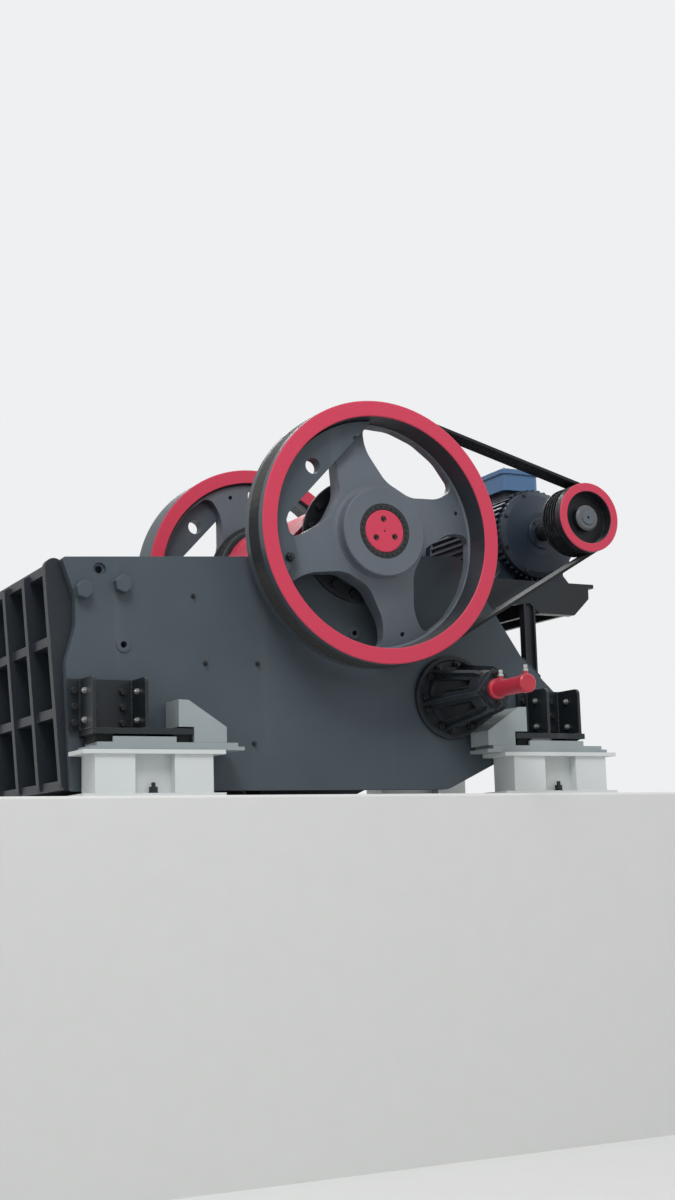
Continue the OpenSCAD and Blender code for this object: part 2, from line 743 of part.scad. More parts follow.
// Motor bracket: a top plate on two arms that seat on the side plates' slope, each with a post
module motor_bracket() {
    slope = unit([rear_bend_x - rear_slope_x, rear_bend_z - top_z(rear_slope_x)]);
    out = [-slope.y, slope.x];
    seat_top = bracket_top + 42;
    seat_low = bracket_z - 180;
    function on_slope(z, d) = [slope_x(z), z] + out * d;
    lip_w = 60;
    lip_t = 10;
    low_z = bracket_z - 156;
    post_x = motor_x - 222;
    post_half = 36;
    lower_edge = [[motor_x + 176, bracket_z - 61], [motor_x + 77, low_z], [motor_x - 153, low_z], [motor_x - 218, bracket_z - 102]];
    arm = concat(
        [on_slope(bracket_top, 1), [motor_x + 178, bracket_top]], lower_edge,
        [on_slope(seat_low + 40, 1)]
    );
    plate_x = on_slope(bracket_z, 2).x;
    color(foot_black) {
        block(plate_x, bracket_rear_x, -side_out, side_out, bracket_z, bracket_top);
        for (x = [motor_x - 140, motor_x + 60])
            block(x, x + arm_t, -side_out + arm_t, side_out - arm_t, low_z + lip_t, bracket_z + 1);
        for (side = [near, far]) on_side(side) {
            slab_y(arm, -side_out, -side_out + arm_t);
            slab_y([on_slope(seat_top, seat_gap), on_slope(seat_top, arm_seat_t), on_slope(seat_low, arm_seat_t),
                    on_slope(seat_low, seat_gap)], -side_out, -side_in + 30);
            for (i = [0:2])
                slab_y([lower_edge[i], lower_edge[i + 1], lower_edge[i + 1] + [0, lip_t], lower_edge[i] + [0, lip_t]],
                       -side_out, -side_out + lip_w);
            slab_y([[post_x - post_half, slope_z(post_x - post_half) + 8], [post_x - post_half, bracket_z],
                    [post_x + post_half, bracket_z], [post_x + post_half, slope_z(post_x + post_half) + 8]],
                   -side_out + 18, -side_out + 30);
            for (x = [post_x - post_half, post_x + post_half - 10])
                slab_y([[x, slope_z(x) + 8], [x, bracket_z], [x + 10, bracket_z], [x + 10, slope_z(x + 10) + 8]],
                       -side_out, -side_in - 2);
            slab_y([for (x = [post_x - 52, post_x + 52]) each (x < post_x
                        ? [[x, slope_z(x) + seat_gap], [x, slope_z(x) + 14]]
                        : [[x, slope_z(x) + 14], [x, slope_z(x) + seat_gap]])], -side_out, -side_in);
        }
    }
}

// Slide rails under the motor, each with a slot and a thrust screw, and a slotted skirt plate
module motor_rails() {
    lug_h = 34;
    slot_half = 11;
    skirt_t = 12;
    skirt_gap = 7;
    skirt_y = motor_mid_y - rail_spread - rail_half_w - skirt_gap - skirt_t;
    foot_front = motor_x - 250;
    color(foot_black) {
        for (y = [motor_mid_y - rail_spread, motor_mid_y + rail_spread]) {
            difference() {
                block(rail_front_x, rail_rear_x, y - rail_half_w, y + rail_half_w, bracket_top, motor_seat_z);
                block(rail_front_x + 20, foot_front - 10, y - slot_half, y + slot_half, bracket_top + 10, motor_seat_z + 1);
            }
            block(rail_front_x, rail_front_x + 18, y - 28, y + 28, motor_seat_z - 1, motor_seat_z + lug_h);
            rod_x(y, motor_seat_z + 18, 9, rail_front_x - 24, foot_front - seat_gap);
        }
        difference() {
            union() {
                block(rail_front_x, rail_rear_x, skirt_y, skirt_y + skirt_t, bracket_top, motor_seat_z + 14);
                block(rail_front_x, rail_rear_x, skirt_y, skirt_y + skirt_t + skirt_gap + 1, bracket_top, motor_seat_z - 2);
            }
            for (x = [motor_x - 268, motor_x + 100])
                block(x - 40, x + 40, skirt_y - 1, skirt_y + skirt_t + skirt_gap, bracket_top + 10, motor_seat_z + 4);
        }
    }
}

// Motor: a finned frame with end shields, ribbed feet and a neck for the terminal box
module motor_body() {
    rear_y = motor_front_y + motor_len;
    pad_h = 28;
    fins = [for (i = [0:fin_count - 1], q = [[-2, motor_root_r], [-1.3, motor_r], [1.3, motor_r], [2, motor_root_r]])
        q[1] * [cos(i * 360 / fin_count + q[0]), sin(i * 360 / fin_count + q[0])]];
    shield = [[0, -1], [motor_root_r + 8, -1], [motor_root_r + 8, 24], [motor_root_r - 20, 38], [120, shield_len], [0, shield_len]];
    foot_half = [[250, 0], [250, pad_h], [214, pad_h + 40], [222, 180], [0, 180]];
    foot_outline = concat(foot_half, [for (i = [3:-1:0]) [-foot_half[i].x, foot_half[i].y]], [[-150, 0], [-110, 50], [110, 50], [150, 0]]);
    color(motor_navy) difference() {
        union() {
            translate([motor_x, rear_y - shield_len, motor_z]) rotate([90, 0, 0])
                linear_extrude(motor_len - 2 * shield_len) polygon(fins);
            translate([motor_x, motor_front_y + shield_len, motor_z]) rotate([90, 0, 0]) rotate_extrude() polygon(shield);
            translate([motor_x, rear_y - shield_len, motor_z]) rotate([-90, 0, 0]) rotate_extrude() polygon(shield);
            for (y = [motor_mid_y - rail_spread, motor_mid_y + rail_spread])
                slab_y([for (p = foot_outline) [motor_x + p.x, motor_seat_z + p.y]], y - rail_half_w - 5, y + rail_half_w + 5);
            block(motor_x - 90, motor_x + 90, motor_mid_y - 220, motor_mid_y + 20, motor_z + motor_root_r - 40, box_z);
        }
        rod_y(motor_x, motor_z, motor_shaft_r + run_gap, motor_front_y - 1, motor_front_y + bore_depth);
    }
}

module fan_cover() {
    r = motor_r - 6;
    start = motor_front_y + motor_len;
    color(motor_navy) translate([motor_x, start, motor_z]) rotate([-90, 0, 0]) rotate_extrude() polygon(rounded([
        [0, 0, 0], [r, 0, 0], [r, fan_len - 45, 30], [r - 60, fan_len - 6, 30], [96, fan_len - 6, 0], [90, fan_len, 0],
        [0, fan_len, 0]
    ]));
}

// Terminal box: a body with round corners, a wider base flange, a lid and a cable gland
module terminal_box() {
    mid_y = motor_mid_y - 100;
    function box_outline(grow, r) =
        let (w = box_half_w + grow, l = box_len / 2 + grow)
        rounded([[motor_x - w, mid_y - l, r], [motor_x + w, mid_y - l, r], [motor_x + w, mid_y + l, r], [motor_x - w, mid_y + l, r]]);
    color(box_blue) {
        slab_z(box_outline(0, 30), box_z, box_z + box_h);
        slab_z(box_outline(8, 34), box_z, box_z + 12);
        slab_z(box_outline(8, 34), box_z + box_h - 30, box_z + box_h - 6);
        rod_x(mid_y, box_z + 60, 26, motor_x + box_half_w - 1, motor_x + box_half_w + 44);
    }
}

function belt_y(i) = belt_mid_y + (i - (belt_count - 1) / 2) * belt_pitch;
// One belt loop round two wheels, as an outline in side view
function loop_points(r1, r2) =
    let (d = [motor_x - shaft_x, motor_z - shaft_z], a = atan2(d.y, d.x), b = acos((r1 - r2) / norm(d)))
    concat(
        arc(shaft_x, shaft_z, r1, a + b, a + 360 - b, 60),
        arc(motor_x, motor_z, r2, a - b, a + b, 24)
    );
module drive_belts() {
    chord_grow = 1 / cos(2.4);
    color(rubber_black) for (i = [0:belt_count - 1]) {
        translate([0, belt_y(i) + belt_w / 2, 0]) rotate([90, 0, 0]) linear_extrude(belt_w) difference() {
            polygon(loop_points((wheel_r + belt_gap) * chord_grow, (pulley_r + belt_gap) * chord_grow));
            polygon(loop_points((wheel_r - belt_t + belt_gap) * chord_grow, (pulley_r - belt_t + belt_gap) * chord_grow));
        }
    }
}

// Eccentric shaft: bevelled ends with three taps and a centre hole, journals, the eccentric
module eccentric_shaft() {
    bevel = 4;
    journal_end = side_out + housing_steps[2] + 10;
    half = pitman_w / 2;
    color(signal_red) difference() {
        union() {
            for (side = [near, far]) on_side(side) spun_y(shaft_x, shaft_z, [
                [0, half - 1], [journal_r, half - 1], [journal_r, journal_end - 4], [journal_r - 4, journal_end],
                [shaft_r, journal_end], [shaft_r, wheel_out - bevel], [shaft_r - bevel, wheel_out], [0, wheel_out]
            ]);
            rod_y(ecc_x, ecc_z, eccentric_r, -half, half);
        }
        for (side = [near, far]) on_side(side) {
            for (k = [0:2]) translate([0, -wheel_out - 1, 0]) rod_y(
                shaft_x + tap_pcd / 2 * cos(95 + 120 * k), shaft_z + tap_pcd / 2 * sin(95 + 120 * k),
                tap_r, 0, tap_depth + 1
            );
            rod_y(shaft_x, shaft_z, 5, -wheel_out - 1, -wheel_out + 16);
        }
    }
}

// Flywheel opening between two spokes: bulging sides, round corners
function window_points() =
    let (out_r = wheel_r - rim_t - 26, in_r = hub_r + 38, half = spoke_w / 2, mid = out_r * 0.7)
    let (a0 = asin(half / mid))
    rounded(concat(
        [[(in_r + 20) * cos(45), (in_r + 20) * sin(45), 60]],
        [[mid * cos(a0 - 1), mid * sin(a0 - 1), 190]],
        [[out_r * cos(a0 + 4), out_r * sin(a0 + 4), 46]],
        [for (t = [30, 45, 60]) [out_r * cos(t) * 1.01, out_r * sin(t) * 1.01, 200]],
        [[out_r * sin(a0 + 4), out_r * cos(a0 + 4), 46]],
        [[mid * sin(a0 - 1), mid * cos(a0 - 1), 190]]
    ));

// Round the belts' wheels: one groove per belt, cut from the outside
module belt_grooves(x, z, r) {
    for (i = [0:belt_count - 1]) {
        y = belt_y(i);
        translate([x, 0, z]) rotate([-90, 0, 0]) rotate_extrude($fn = 160) polygon([
            [r - belt_t, y - belt_w / 2 - belt_gap], [r + 1, y - belt_w / 2 - belt_gap],
            [r + 1, y + belt_w / 2 + belt_gap], [r - belt_t, y + belt_w / 2 + belt_gap]
        ]);
    }
}

module flywheel(side) {
    color(web_grey) difference() {
        wheel_casting(side);
        if (side == near) belt_grooves(shaft_x, shaft_z, wheel_r);
    }
}

// Flywheel: rim, recessed web with four windows, hub, a cast pad round each spoke's hole
module wheel_casting(side) {
    inner = wheel_r - rim_t;
    web_y = wheel_out - web_depth;
    edge = 5;
    on_side(side) difference() {
        union() {
            translate([shaft_x, 0, shaft_z]) rotate([90, 0, 0]) rotate_extrude($fn = 160) polygon([
                [inner, wheel_out - 4], [inner + 4, wheel_out], [wheel_r - edge, wheel_out], [wheel_r, wheel_out - edge],
                [wheel_r, wheel_in + edge], [wheel_r - edge, wheel_in], [inner + 4, wheel_in], [inner - 6, web_y - web_t],
                [hub_r + hub_fillet, web_y - web_t], [hub_r, web_y - web_t - hub_fillet], [hub_r, wheel_in + 2],
                [shaft_r + seat_gap, wheel_in + 2], [shaft_r + seat_gap, wheel_out - hub_depth], [lock_r, wheel_out - hub_depth],
                [lock_r, wheel_out], [hub_r - edge, wheel_out], [hub_r, wheel_out - edge], [hub_r, web_y + hub_fillet],
                [hub_r + hub_fillet, web_y], [inner - 8, web_y]
            ]);
            for (k = [0:3]) {
                at = spoke_at + 90 * k;
                rod_y(shaft_x + spoke_hole_at * cos(at), shaft_z + spoke_hole_at * sin(at), pad_r, -web_y - pad_t, -web_y + 1);
            }
        }
        for (k = [0:3]) {
            at = spoke_at + 90 * k;
            translate([shaft_x, -wheel_in, shaft_z]) rotate([90, 0, 0]) rotate([0, 0, at])
                linear_extrude(wheel_w) polygon(window_points());
            rod_y(shaft_x + spoke_hole_at * cos(at), shaft_z + spoke_hole_at * sin(at), spoke_hole_r, -web_y - pad_t - 1, -web_y + web_t + 1);
        }
    }
}

module lock_ring(side) {
    color(rubber_black) on_side(side) spun_y(shaft_x, shaft_z, [
        [shaft_r + seat_gap, wheel_out - hub_depth + seat_gap], [lock_r - seat_gap, wheel_out - hub_depth + seat_gap],
        [lock_r - seat_gap, wheel_out - 3], [lock_r - 3, wheel_out], [shaft_r + 4, wheel_out], [shaft_r + seat_gap, wheel_out - 4]
    ]);
}

// Counterweight: a ring segment behind the rim, with a lifting hole and a notch at each end
module counterweight(side) {
    mid = spoke_at + 126;
    reach = 40;
    in_r = 430;
    out_r = wheel_r - rim_t - 10;
    hole_at = 490;
    module at_angle(r, a, size) {
        rotate([0, 0, a]) translate([r, 0, -1]) cylinder(r = size, h = 72);
    }
    color(plate_grey) on_side(side)
        translate([shaft_x, -wheel_out + web_depth - seat_gap, shaft_z]) rotate([90, 0, 0]) difference() {
            linear_extrude(70) polygon(concat(
                arc(0, 0, out_r, mid - reach, mid + reach, 16), arc(0, 0, in_r, mid + reach, mid - reach, 16)
            ));
            at_angle(hole_at, mid, 32);
            rotate([0, 0, spoke_at + 90]) translate([spoke_hole_at, 0, -1]) cylinder(r = pad_r + 2, h = pad_t + 2);
            for (way = [-1, 1]) at_angle(out_r, mid + way * reach, 26);
        }
}

// Moving jaw: a bored barrel, a front wall behind the die, ribs to the toggle seat and the toe
module pitman() {
    back_top = swing_top_x + die_t;
    back_low = swing_low_x + die_t;
    half = pitman_w / 2;
    function front_x(z) = back_low + (back_top - back_low) * (z - die_low_z) / die_h;
    knee_z = 880;
    seat_x = toggle_front_x - toggle_gap;
    wall = rounded([
        [back_low, die_low_z, 0], [back_top, die_top_z, 0], [back_top + 40, die_top_z + 60, 30],
        [ecc_x - 130, ecc_z + barrel_r - 30, 80], [ecc_x, ecc_z, 0], [ecc_x - 60, ecc_z - barrel_r + 20, 0],
        [front_x(knee_z) + jaw_wall_t, knee_z, 120], [back_low + jaw_wall_t, die_low_z + 30, 0]
    ]);
    rib = rounded([
        [front_x(knee_z + 80) + 30, knee_z + 80, 0], [ecc_x, ecc_z - 200, 0], [ecc_x + 70, ecc_z - barrel_r + 30, 0],
        [seat_x + 40, seat_high_z + 180, 200], [seat_x, seat_high_z, 0],
        [seat_x, seat_low_z, 0], [toe_x, toe_z, 60], [back_low + 30, die_low_z + 25, 0]
    ]);
    seat = rounded([
        [seat_x, seat_high_z, 16], [seat_x - 130, seat_high_z, 40], [seat_x - 170, seat_low_z - 20, 60], [seat_x - 90, seat_low_z - 30, 30],
        [seat_x, seat_low_z, 16]
    ]);
    barrel = [
        [eccentric_r + run_gap, -half], [barrel_r - 6, -half], [barrel_r, -half + 6], [barrel_r, -half + barrel_end_w],
        [barrel_waist_r, -half + barrel_end_w + 40], [barrel_waist_r, half - barrel_end_w - 40],
        [barrel_r, half - barrel_end_w], [barrel_r, half - 6], [barrel_r - 6, half], [eccentric_r + run_gap, half]
    ];
    lug = [
        [toe_x - 60, 140], [toe_x - 60, 185], [-170, 245], [rod_pin_x + 38, rod_pin_z + 20], [rod_pin_x + 38, rod_pin_z - 36],
        [rod_pin_x - 30, rod_pin_z - 36]
    ];
    color(signal_red) difference() {
        union() {
            spun_y(ecc_x, ecc_z, barrel);
            slab_y(wall, -half, half);
            for (i = [0:3]) {
                y = -half + i * (2 * half - jaw_rib_t) / 3;
                slab_y(rib, y, y + jaw_rib_t);
            }
            slab_y(seat, -half, half);
            slab_y([[back_low + 20, die_low_z + 22], [front_x(210) + 20, 210], [toe_x - 30, 190], [toe_x, toe_z + 6]], -half, half);
            for (side = [near, far]) on_side(side) {
                slab_y(lug, -rod_y0 - 60, -rod_y0 - 30);
                rod_y(rod_pin_x, rod_pin_z, rod_pin_r, -rod_y0 - 61, -rod_y0 + 26);
            }
        }
        rod_y(ecc_x, ecc_z, eccentric_r + run_gap, -half - 1, half + 1);
    }
}

module swing_jaw_die() {
    color(die_steel) translate([swing_low_x + die_t, 0, die_low_z]) rotate([0, swing_lean, 0])
        rotate([0, 0, 90]) die(pitman_w);
}

// Motor pulley: grooved rim, set-back web, hub on the motor shaft
module motor_pulley() {
    rim = 48;
    recess = 62;
    web = 30;
    hub = 70;
    back = wheel_out - pulley_w;
    color(cast_grey) difference() {
        spun_y(motor_x, motor_z, [
            [0, wheel_out - 14], [hub - 10, wheel_out - 14], [hub, wheel_out - 24], [hub, wheel_out - recess],
            [pulley_r - rim, wheel_out - recess], [pulley_r - rim, wheel_out - 4], [pulley_r - rim + 4, wheel_out],
            [pulley_r - 4, wheel_out], [pulley_r, wheel_out - 4], [pulley_r, back], [pulley_r - rim, back],
            [pulley_r - rim, wheel_out - recess - web], [hub, wheel_out - recess - web], [hub, back - 8],
            [motor_shaft_r, back - 8], [motor_shaft_r, -motor_front_y - bore_depth + 10], [0, -motor_front_y - bore_depth + 10]
        ]);
        belt_grooves(motor_x, motor_z, pulley_r);
        rod_y(motor_x, motor_z, 8, -wheel_out, -wheel_out + 34);
    }
}

side_plate(near);  // side_plate_near
side_plate(far);  // side_plate_far
front_frame();
rear_frame();
cheek_plates();
fixed_jaw_die();
bearing_housing(near);  // bearing_housing_near
bearing_housing(far);  // bearing_housing_far
toggle_plate();
toggle_block();
tension_rods();
lantern(near);  // lantern_near
lantern(far);  // lantern_far
adjuster_ram(near);  // adjuster_ram_near
adjuster_ram(far);  // adjuster_ram_far
foot(near, foot_front_x, foot_front_plate);  // foot_front_near
foot(far, foot_front_x, foot_front_plate);  // foot_front_far
foot(near, foot_rear_x, foot_rear_plate);  // foot_rear_near
foot(far, foot_rear_x, foot_rear_plate);  // foot_rear_far
rubber_blocks();
base_plates();
hold_down_hooks();
pedestal(near, -1);  // pedestal_front_near
pedestal(far, -1);  // pedestal_front_far
pedestal(near, 1);  // pedestal_rear_near
pedestal(far, 1);  // pedestal_rear_far
motor_bracket();
motor_rails();
motor_body();
fan_cover();
terminal_box();
drive_belts();
eccentric_shaft();
flywheel(near);  // flywheel_near
flywheel(far);  // flywheel_far
lock_ring(near);  // lock_ring_near
lock_ring(far);  // lock_ring_far
counterweight(near);  // counterweight_near
counterweight(far);  // counterweight_far
pitman();
swing_jaw_die();
motor_pulley();
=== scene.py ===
# Finishes, flywheels and small fittings for the jaw crusher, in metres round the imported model.
from math import acos, asin, cos, pi, radians, sin, sqrt, tan

import bmesh
import bpy
from mathutils import Matrix, Vector


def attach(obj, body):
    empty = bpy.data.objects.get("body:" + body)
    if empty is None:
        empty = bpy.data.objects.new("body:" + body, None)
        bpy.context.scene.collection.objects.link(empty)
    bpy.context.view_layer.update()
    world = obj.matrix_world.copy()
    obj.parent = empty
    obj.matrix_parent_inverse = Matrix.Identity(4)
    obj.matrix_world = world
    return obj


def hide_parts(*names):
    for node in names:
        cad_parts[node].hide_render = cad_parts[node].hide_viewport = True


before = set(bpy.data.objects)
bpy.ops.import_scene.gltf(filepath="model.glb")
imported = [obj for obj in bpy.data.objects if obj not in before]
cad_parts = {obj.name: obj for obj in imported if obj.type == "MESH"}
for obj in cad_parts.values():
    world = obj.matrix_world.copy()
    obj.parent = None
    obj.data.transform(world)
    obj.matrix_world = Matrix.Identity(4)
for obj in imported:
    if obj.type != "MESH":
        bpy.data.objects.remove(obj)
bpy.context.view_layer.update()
print("stage: frame loaded,", len(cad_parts), "nodes")


# Shader sums

class Signal:
    # one socket's value, so that sums on it read as sums
    def __init__(self, nodes, socket):
        self.nodes = nodes
        self.socket = socket

    def sum(self, operation, first, second):
        return self.nodes.add("ShaderNodeMath", {"operation": operation}, {0: first, 1: second})

    def __add__(self, other):
        return self.sum("ADD", self, other)

    def __radd__(self, other):
        return self.sum("ADD", other, self)

    def __sub__(self, other):
        return self.sum("SUBTRACT", self, other)

    def __rsub__(self, other):
        return self.sum("SUBTRACT", other, self)

    def __mul__(self, other):
        return self.sum("MULTIPLY", self, other)

    def __rmul__(self, other):
        return self.sum("MULTIPLY", other, self)

    def __pow__(self, other):
        return self.sum("POWER", self, other)

    def __gt__(self, other):
        return self.sum("GREATER_THAN", self, other)

    def __lt__(self, other):
        return self.sum("LESS_THAN", self, other)

    def __abs__(self):
        return self.sum("ABSOLUTE", self, 0.0)

    def ease(self, low, high):
        # 0 below low, 1 above high, smooth between
        return self.nodes.add("ShaderNodeMapRange", {"interpolation_type": "SMOOTHSTEP"},
                              {"Value": self, "From Min": low, "From Max": high})


class Nodes:
    # a node tree that is filled by one method
    def __init__(self, tree):
        self.tree = tree
        tree.nodes.clear()

    def add(self, kind, options=None, inputs=None, output=0):
        made = self.tree.nodes.new(kind)
        for name, value in (options or {}).items():
            setattr(made, name, value)
        for name, value in (inputs or {}).items():
            if isinstance(value, Signal):
                self.tree.links.new(value.socket, made.inputs[name])
            else:
                made.inputs[name].default_value = value
        if not made.outputs:
            return made
        if isinstance(output, tuple):
            return [Signal(self, made.outputs[name]) for name in output]
        return Signal(self, made.outputs[output])

    def place(self):
        return self.add("ShaderNodeTexCoord", output="Object")

    def normal(self):
        return self.add("ShaderNodeNewGeometry", output="Normal")

    def axes(self, vector):
        return self.add("ShaderNodeSeparateXYZ", None, {0: vector}, ("X", "Y", "Z"))

    def noise(self, scale, detail=3.0, roughness=0.55, stretch=None):
        place = self.place()
        if stretch:
            place = self.add("ShaderNodeMapping", None, {"Vector": place, "Scale": stretch})
        return self.add("ShaderNodeTexNoise", None, {
            "Vector": place, "Scale": scale, "Detail": detail, "Roughness": roughness,
        })

    def blend(self, share, first, second):
        return self.add("ShaderNodeMix", {"data_type": "RGBA"}, {0: share, 6: first, 7: second}, 2)

    def roundEdge(self, radius):
        # the normal as if every edge had a small round
        return self.add("ShaderNodeBevel", {"samples": 6}, {"Radius": radius})

    def bump(self, height, distance=0.001, **more):
        return self.add("ShaderNodeBump", None,
                        {"Height": height, "Distance": distance, "Strength": 1.0, **more})


def tone(red, green, blue):
    # a colour given as it shows on screen, 0 to 255
    def linear(value):
        value = value / 255
        return value / 12.92 if value <= 0.04045 else ((value + 0.055) / 1.055) ** 2.4
    return (*[linear(value) for value in (red, green, blue)], 1.0)


def scaled(colour, share):
    return (*[min(1.0, value * share) for value in colour[:3]], 1.0)


# Finishes: every one is read from Object coordinates, which are the machine's own metres

def upwards(nodes):
    # how far a face looks up
    return nodes.axes(nodes.normal())[2]


def edges(nodes, radius):
    # 1 on sharp edges, 0 on flat faces
    along = nodes.add("ShaderNodeVectorMath", {"operation": "DOT_PRODUCT"},
                      {0: nodes.roundEdge(radius), 1: nodes.normal()}, "Value")
    return (1 - along).ease(0.02, 0.24)


def finishNodes(name):
    material = bpy.data.materials.new(name)
    material.use_nodes = True
    return material, Nodes(material.node_tree)


def finished(material, nodes, **sockets):
    # the surface's own shader, with its underscored names as socket names
    shader = nodes.add("ShaderNodeBsdfPrincipled", None,
                       {name.replace("_", " "): value for name, value in sockets.items()})
    nodes.add("ShaderNodeOutputMaterial", None, {"Surface": shader})
    return material


# noise scales per metre; streaks run down, the peel is the paint's own skin
weather = {"broad": 1.7, "fine": 26.0, "streaks": 5.0, "streakStretch": (1.0, 1.0, 0.09),
           "peel": 230.0, "wearWidth": 0.004, "swell": 1.2, "coatRough": 0.28, "specular": 0.3}


def painted(name, look, recolour=None):
    # mottled paint, bare on worn edges, with grime in streaks and dust on what looks up
    material, nodes = finishNodes(name)
    broad = nodes.noise(weather["broad"], 3.0)
    fine = nodes.noise(weather["fine"], 4.0)
    streaks = nodes.noise(weather["streaks"], 3.0, 0.6, weather["streakStretch"])
    base = nodes.blend(broad.ease(0.3, 0.7), scaled(look["colour"], 1 - look["mottle"]),
                       scaled(look["colour"], 1 + look["mottle"]))
    if recolour:
        base = recolour(nodes, base)
    edge = edges(nodes, weather["wearWidth"]) * fine.ease(0.42, 0.62) * look["wear"]
    base = nodes.blend(edge, base, look["bare"])
    grime = streaks.ease(0.56, 0.8) * look["streak"]
    base = nodes.blend(grime, base, look["dustColour"])
    dust = upwards(nodes).ease(0.55, 0.95) * (0.45 + fine * 0.9) * look["dust"]
    base = nodes.blend(dust, base, look["dustColour"])
    rough = look["rough"] + (fine - 0.5) * 0.16 + dust * 0.35 + grime * 0.2
    grain = nodes.noise(look["grainScale"], 5.0, 0.6)
    peel = nodes.noise(weather["peel"], 2.0, 0.5)
    height = grain * look["grain"] + peel * look["peel"] + broad * weather["swell"]
    return finished(material, nodes, Base_Color=base, Roughness=rough,
                    Normal=nodes.bump(height, Normal=nodes.roundEdge(look["edge"])),
                    Coat_Weight=look["coat"], Coat_Roughness=weather["coatRough"],
                    Specular_IOR_Level=weather["specular"])


paintLook = {
    "rough": 0.5, "mottle": 0.07, "peel": 0.12, "grain": 0.0, "grainScale": 60.0, "wear": 0.3,
    "streak": 0.1, "dust": 0.42, "coat": 0.06, "edge": 0.0025,
    "bare": tone(134, 141, 146), "dustColour": tone(139, 138, 132),
}


def paintOf(colour, **changes):
    return {**paintLook, "colour": colour, **changes}


paints = {
    "frame_paint": paintOf(tone(70, 80, 88), grain=0.3, grainScale=9.0),
    "cast_paint": paintOf(tone(34, 40, 46), grain=1.6, grainScale=70.0, wear=0.5),
    "wheel_paint": paintOf(tone(91, 98, 107), grain=1.1, grainScale=60.0, dust=0.25),
    "red_paint": paintOf(tone(194, 56, 80), bare=tone(226, 130, 146), grain=0.7,
                         grainScale=60.0, dust=0.2),
    "ram_paint": paintOf(tone(178, 44, 62), bare=tone(212, 110, 120), dust=0.2, coat=0.35,
                         rough=0.34),
    "black_paint": paintOf(tone(27, 33, 38), bare=tone(120, 126, 130), dust=0.3, coat=0.2,
                           rough=0.42),
    "pale_paint": paintOf(tone(206, 211, 211), bare=tone(150, 152, 150), wear=0.35,
                          streak=0.16, dustColour=tone(168, 166, 158), mottle=0.03),
    "plate_paint": paintOf(tone(146, 155, 158), bare=tone(170, 176, 178), grain=0.4),
    "motor_paint": paintOf(tone(33, 45, 60), bare=tone(90, 108, 128), grain=0.5, dust=0.3,
                           coat=0.2),
    "box_paint": paintOf(tone(72, 108, 148), bare=tone(130, 158, 186), coat=0.25),
}

axle = {"x": 0.08, "z": 1.32}
motorAxle = {"x": 1.347, "z": 1.485}
redFace = tone(198, 58, 84)
# the rim's inner wall gets a darker grey: painted shade in the recess behind the red face
rimAreas = {"inner": 0.593, "wall": 0.5845, "tread": 0.6, "middle": 0.7795, "half": 0.1032,
            "wallShadeColour": tone(46, 50, 57), "treadColour": tone(68, 77, 84)}
pulleyAreas = {"inner": 0.1445, "face": 0.8822, "hub": 0.0705, "hubFace": 0.860,
               "colour": tone(28, 30, 33), "hubColour": tone(92, 95, 99)}
# the dark red round the taps is painted shade of a countersink
shaftAreas = {"end": 0.881, "radius": 0.1086, "tapAt": 0.062, "tapTurn": radians(95),
              "tapRadius": 0.0165, "steel": tone(150, 152, 154), "tapShadeColour": tone(84, 8, 18)}


def ringDistance(nodes, x, z):
    # distance from an axis that runs across the machine, and from its middle plane
    placeX, placeY, placeZ = nodes.axes(nodes.place())
    return ((placeX - x) ** 2 + (placeZ - z) ** 2) ** 0.5, abs(placeY)


def redRim(nodes, base):
    reach, across = ringDistance(nodes, axle["x"], axle["z"])
    side = abs(across - rimAreas["middle"]) > rimAreas["half"]
    face = (reach > rimAreas["inner"]) * side
    # painted shade on the rim's inner wall
    wall = nodes.blend(reach > rimAreas["wall"], base, rimAreas["wallShadeColour"])
    outside = nodes.blend(reach > rimAreas["tread"], wall, rimAreas["treadColour"])
    return nodes.blend(face, outside, redFace)


def redPulley(nodes, base):
    reach, across = ringDistance(nodes, motorAxle["x"], motorAxle["z"])
    face = (reach > pulleyAreas["inner"]) * (across > pulleyAreas["face"])
    hub = (reach < pulleyAreas["hub"]) * (across > pulleyAreas["hubFace"])
    return nodes.blend(face, nodes.blend(hub, base, pulleyAreas["hubColour"]), redFace)


def redShaftEnd(nodes, base):
    # machined steel instead of the paint, red on its ends, with a painted countersink shade round
    # their taps
    reach, across = ringDistance(nodes, axle["x"], axle["z"])
    end = (across > shaftAreas["end"]) * (reach < shaftAreas["radius"])
    shown = nodes.blend(end, shaftAreas["steel"], redFace)
    for k in range(3):
        angle = shaftAreas["tapTurn"] + k * 2 * pi / 3
        away = ringDistance(nodes, axle["x"] + shaftAreas["tapAt"] * cos(angle),
                            axle["z"] + shaftAreas["tapAt"] * sin(angle))[0]
        shown = nodes.blend(end * (away < shaftAreas["tapRadius"]), shown,
                            shaftAreas["tapShadeColour"])
    return shown


def metal(name, look):
    material, nodes = finishNodes(name)
    fine = nodes.noise(look["grainScale"], 5.0, 0.6)
    broad = nodes.noise(6.0, 3.0)
    base = nodes.blend(broad.ease(0.3, 0.7), scaled(look["colour"], 0.86),
                       scaled(look["colour"], 1.12))
    stain = fine.ease(0.56, 0.74) * look["stain"]
    base = nodes.blend(stain, base, look["stainColour"])
    rough = look["rough"] + (fine - 0.5) * 0.22 + stain * 0.3
    bump = nodes.bump(fine * look["grain"], Normal=nodes.roundEdge(look["edge"]))
    return finished(material, nodes, Base_Color=base, Roughness=rough,
                    Metallic=look["metallic"], Normal=bump)


